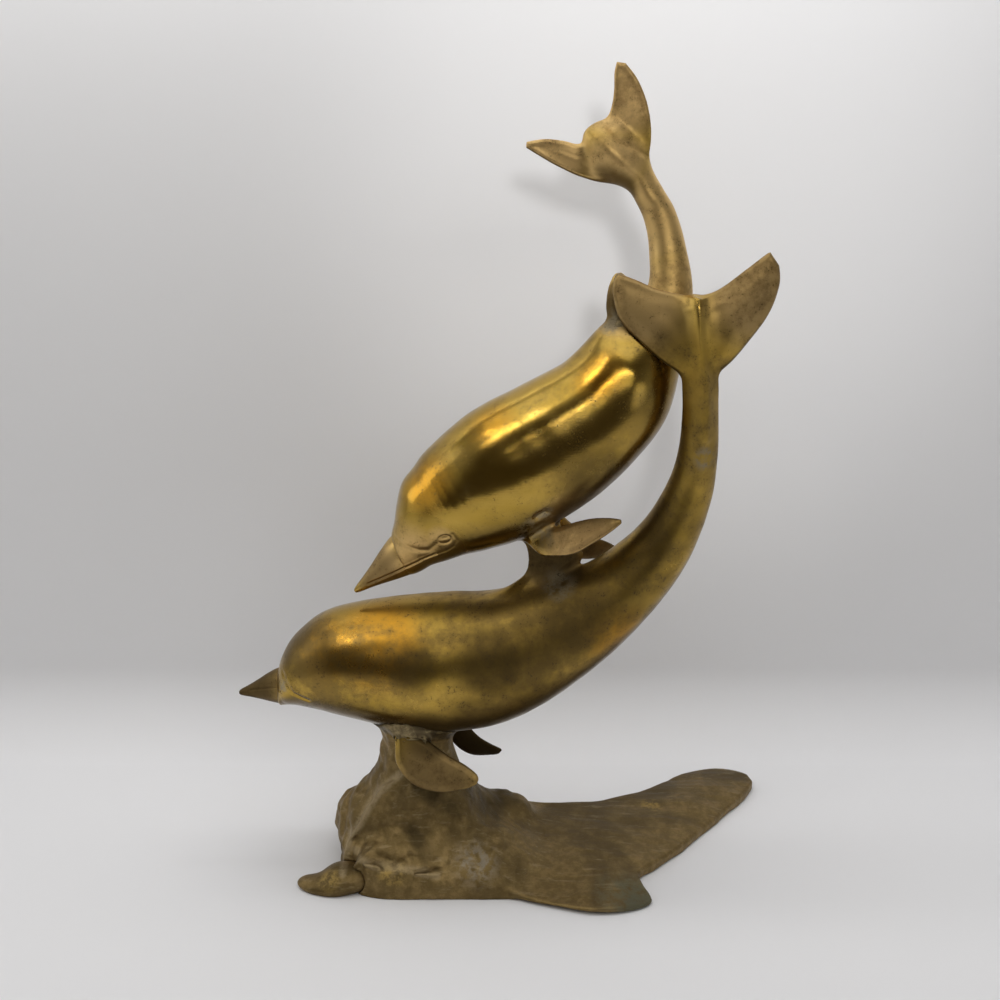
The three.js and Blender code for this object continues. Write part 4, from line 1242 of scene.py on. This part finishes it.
def rock_brass():
    """As-cast brass under brown patina, with a painted highlight along its ridge and crest, painted shade
    in its clefts and under the near flipper, greened at the wave's corner.
    """
    f = Finish(bpy.data.materials.new("rock brass"))
    cloud = f.noise(22, 5, seed=11, warp=0.8)
    mottle = f.noise(190, 5, seed=12, rough=0.75)
    grain = f.noise(320, 4, stretch=(0.2, 1, 1), seed=13, rough=0.65)
    worn = f.mix(mottle.ramp(0.4, 0.64), (0.205, 0.142, 0.056, 1), (0.30, 0.21, 0.088, 1))
    brown = f.mix(cloud.ramp(0.4, 0.64) * 0.7, worn, (0.10, 0.07, 0.03, 1))
    streaks = f.mix(grain.ramp(0.55, 0.7) * 0.45, brown, (0.40, 0.31, 0.17, 1))
    lime = f.near((-24, -37, -68), 18, 0.6, 0.8) * mottle.ramp(0.4, 0.6)
    grey = f.mix(lime, streaks, (0.25, 0.24, 0.21, 1))
    green = f.near((62, -52, -79), 26, 1.0, 0.7) * (mottle * 0.6 + cloud * 0.4).ramp(0.42, 0.6)
    copper = f.mix(green * 0.6, grey, (0.19, 0.21, 0.15, 1))
    gold = f.nearest([((85, 43, -74), 9), ((-70, -47, -67), 12), ((-106, -42, -76), 9, 0.7)])
    gilt = f.mix(gold * mottle.ramp(0.42, 0.6) * 0.6, copper, (0.55, 0.38, 0.11, 1))
    # Painted highlight: a lighter tan line along the ridge and, fainter, along the crest.
    ridge_edge = f.along([(x, z) for x, _, z in ridge], 3.2)
    edge = ridge_edge.most(f.along([(x, z) for x, _, z in crest], 2.6) * 0.7)
    with_ridge_highlight = f.mix(edge * (mottle.ramp(0.3, 0.6) * 0.5 + 0.3), gilt, (0.42, 0.33, 0.19, 1))
    # Painted shade in the clefts and under the near flipper.
    cleft = f.along([(-54, -28), (-45, -38), (-36, -44)], 8)
    for path in ([(-27, -36), (-20, -47), (-11, -54), (-2, -55)], [(-62, -52), (-57, -59)]):
        cleft = cleft.most(f.along(path, 6))
    color = f.mix(cleft * cloud.ramp(0.3, 0.55) * 0.65, with_ridge_highlight, (0.05, 0.036, 0.016, 1))
    rough = 0.42 + mottle * 0.16 + green * 0.2
    return f.done(color, rough, mottle * 0.55 + grain * 0.25 + cloud * 0.2, 0.7, 0.0014)


rock_finish = rock_brass()
pieces_of(base, {
    "rock": (rock, rock_finish, "rock_brass", "rock_mound"),
    "wave": (wave, rock_finish, "rock_brass", "wave_plate"),
    "wave_seam": (bead(rock, wave, 2.5), rock_finish, "braze_metal", "wave_braze"),
    "belly_seam": (bead(rock, lower_body, 2), filler, "braze_metal", "belly_braze"),
}, (-114, -68, -86), (158, 106, 22), 1.0 * coarse_look)
points, faces, normals = surface(pebble, (-126, -52, -86), (-82, -16, -70), 0.6 * coarse_look)
piece_of(pebble, "toe_pebble", points, faces, normals, rock_finish, "rock_brass", "toe_stone")

# Table, backdrop, camera and lamps
# A sheet of pale paper that runs over the table and up behind the piece, in a room that is dark on the
# viewer's side: the dark bands of the polished bodies are that room, the light ones are the table.
TABLE_FRONT = -0.72
HALF_WIDTH = 1.6
WALL_Y, WALL_TOP = 0.150, 1.4
WALL_BEND, BEND_STEPS = 0.050, 12
CAMERA_TILT = 16

# From behind the paper is clear, so that views from the rear see the piece.
paper = bpy.data.materials.new("pale paper")
paper.use_nodes = True
tree = paper.node_tree
sheet = tree.nodes["Principled BSDF"]
sheet.inputs["Base Color"].default_value = (0.80, 0.80, 0.81, 1)
sheet.inputs["Roughness"].default_value = 0.9
sheet.inputs["Specular IOR Level"].default_value = 0.1
side = tree.nodes.new("ShaderNodeNewGeometry")
clear = tree.nodes.new("ShaderNodeBsdfTransparent")
choice = tree.nodes.new("ShaderNodeMixShader")
tree.links.new(side.outputs["Backfacing"], choice.inputs[0])
tree.links.new(sheet.outputs[0], choice.inputs[1])
tree.links.new(clear.outputs[0], choice.inputs[2])
tree.links.new(choice.outputs[0], tree.nodes["Material Output"].inputs[0])

profile = [(TABLE_FRONT, 0)]
for k in range(BEND_STEPS + 1):
    turn = k / BEND_STEPS * math.pi / 2
    profile.append((WALL_Y - WALL_BEND + WALL_BEND * math.sin(turn), WALL_BEND * (1 - math.cos(turn))))
profile.append((WALL_Y, WALL_TOP))
mesh = bpy.data.meshes.new("sweep")
mesh.from_pydata([(x, y, z) for y, z in profile for x in (-HALF_WIDTH, HALF_WIDTH)], [],
                 [(2 * k, 2 * k + 1, 2 * k + 3, 2 * k + 2) for k in range(len(profile) - 1)])
for polygon in mesh.polygons:
    polygon.use_smooth = True
mesh.materials.append(paper)
floor = bpy.data.objects.new("sweep", mesh)
bpy.context.scene.collection.objects.link(floor)

camera = bpy.data.objects.new("camera", bpy.data.cameras.new("camera"))
bpy.context.scene.collection.objects.link(camera)
camera.data.lens = 50.4
camera.data.clip_start = 0.01
eye = np.array([-10, -743.8, 349.3])
camera.location = (eye + place) / 1000
camera.rotation_euler = (math.radians(90 - CAMERA_TILT), 0, 0)
bpy.context.scene.camera = camera


def aimed(data, at, target, mirrored=True):
    """Hangs a light so that it faces its target. The metal mirrors it or not."""
    made = bpy.data.objects.new(data.name, data)
    bpy.context.scene.collection.objects.link(made)
    made.visible_glossy = mirrored
    made.location = at
    way = np.array(target) - np.array(at)
    made.rotation_euler = (math.atan2(math.hypot(way[0], way[1]), -way[2]), 0,
                           math.atan2(-way[0], way[1]))


def panel(name, radiance, width, height, color=(1, 1, 1)):
    """A soft panel of a given brightness."""
    data = bpy.data.lights.new(name, "AREA")
    data.shape = "RECTANGLE"
    data.size, data.size_y = width, height
    data.energy = radiance * width * height * math.pi
    data.color = color
    return data


warm_white = (1, 0.95, 0.85)
aimed(panel("ceiling", 0.64, 1.2, 0.7), (-0.05, -0.22, 1.02), (-0.05, -0.2, 0))
aimed(panel("wall wash", 4.6, 1.3, 0.10), (0.05, 0.03, 0.74), (0.05, 0.15, 0.50), mirrored=False)
aimed(panel("rear strip", 5, 0.34, 0.03, warm_white), (-0.40, -0.30, 0.84), (0, -0.02, 0.26))
aimed(panel("front strip", 9.5, 0.75, 0.03, warm_white), (0.14, -0.74, 0.70), (0, -0.02, 0.26))
aimed(panel("upper left", 4, 0.15, 0.15, warm_white), (-0.50, -0.50, 0.95), (0.02, 0, 0.30))
aimed(panel("front panel", 0.9, 0.9, 0.45), (0.25, -1.15, 0.80), (0.06, 0, 0.34))
aimed(panel("right side", 0.8, 0.3, 0.35), (0.70, -0.66, 0.30), (0.06, -0.02, 0.26))
aimed(panel("left side", 1.0, 0.45, 0.45), (-0.85, -0.02, 0.58), (0, -0.02, 0.25))

# A small lamp over the camera throws the upper fluke's soft shadow on the wall.
small_lamp = bpy.data.lights.new("small lamp", "SPOT")
small_lamp.energy = 17
small_lamp.spot_size = math.radians(22)
small_lamp.spot_blend = 1
small_lamp.shadow_soft_size = 0.055
aimed(small_lamp, (0.079, -1.281, 0.634), (0.107, 0.15, 0.377), mirrored=False)

# The room that the metal mirrors: dark in front, paler overhead, at both sides and behind the wall.
world = bpy.data.worlds.new("room")
bpy.context.scene.world = world
f = Finish(world)
way = f.node("ShaderNodeSeparateXYZ", Vector=f.place.node.outputs["Generated"])
x, y, z = (Value(f, socket) for socket in way.outputs)
front = f.mix(z.ramp(0.6, 0.92), (0.05, 0.042, 0.035, 1), (0.55, 0.55, 0.56, 1))
left = f.mix(x.ramp(-0.55, -0.95), front, (0.55, 0.55, 0.55, 1))
right = f.mix(x.ramp(0.6, 0.98), left, (0.30, 0.30, 0.31, 1))
rear = f.mix(y.ramp(0.1, 0.7), right, (0.5, 0.5, 0.52, 1))
light = f.node("ShaderNodeBackground", Color=rear)
f.node("ShaderNodeOutputWorld", Surface=light.outputs[0])
bpy.context.scene.view_settings.view_transform = "Standard"
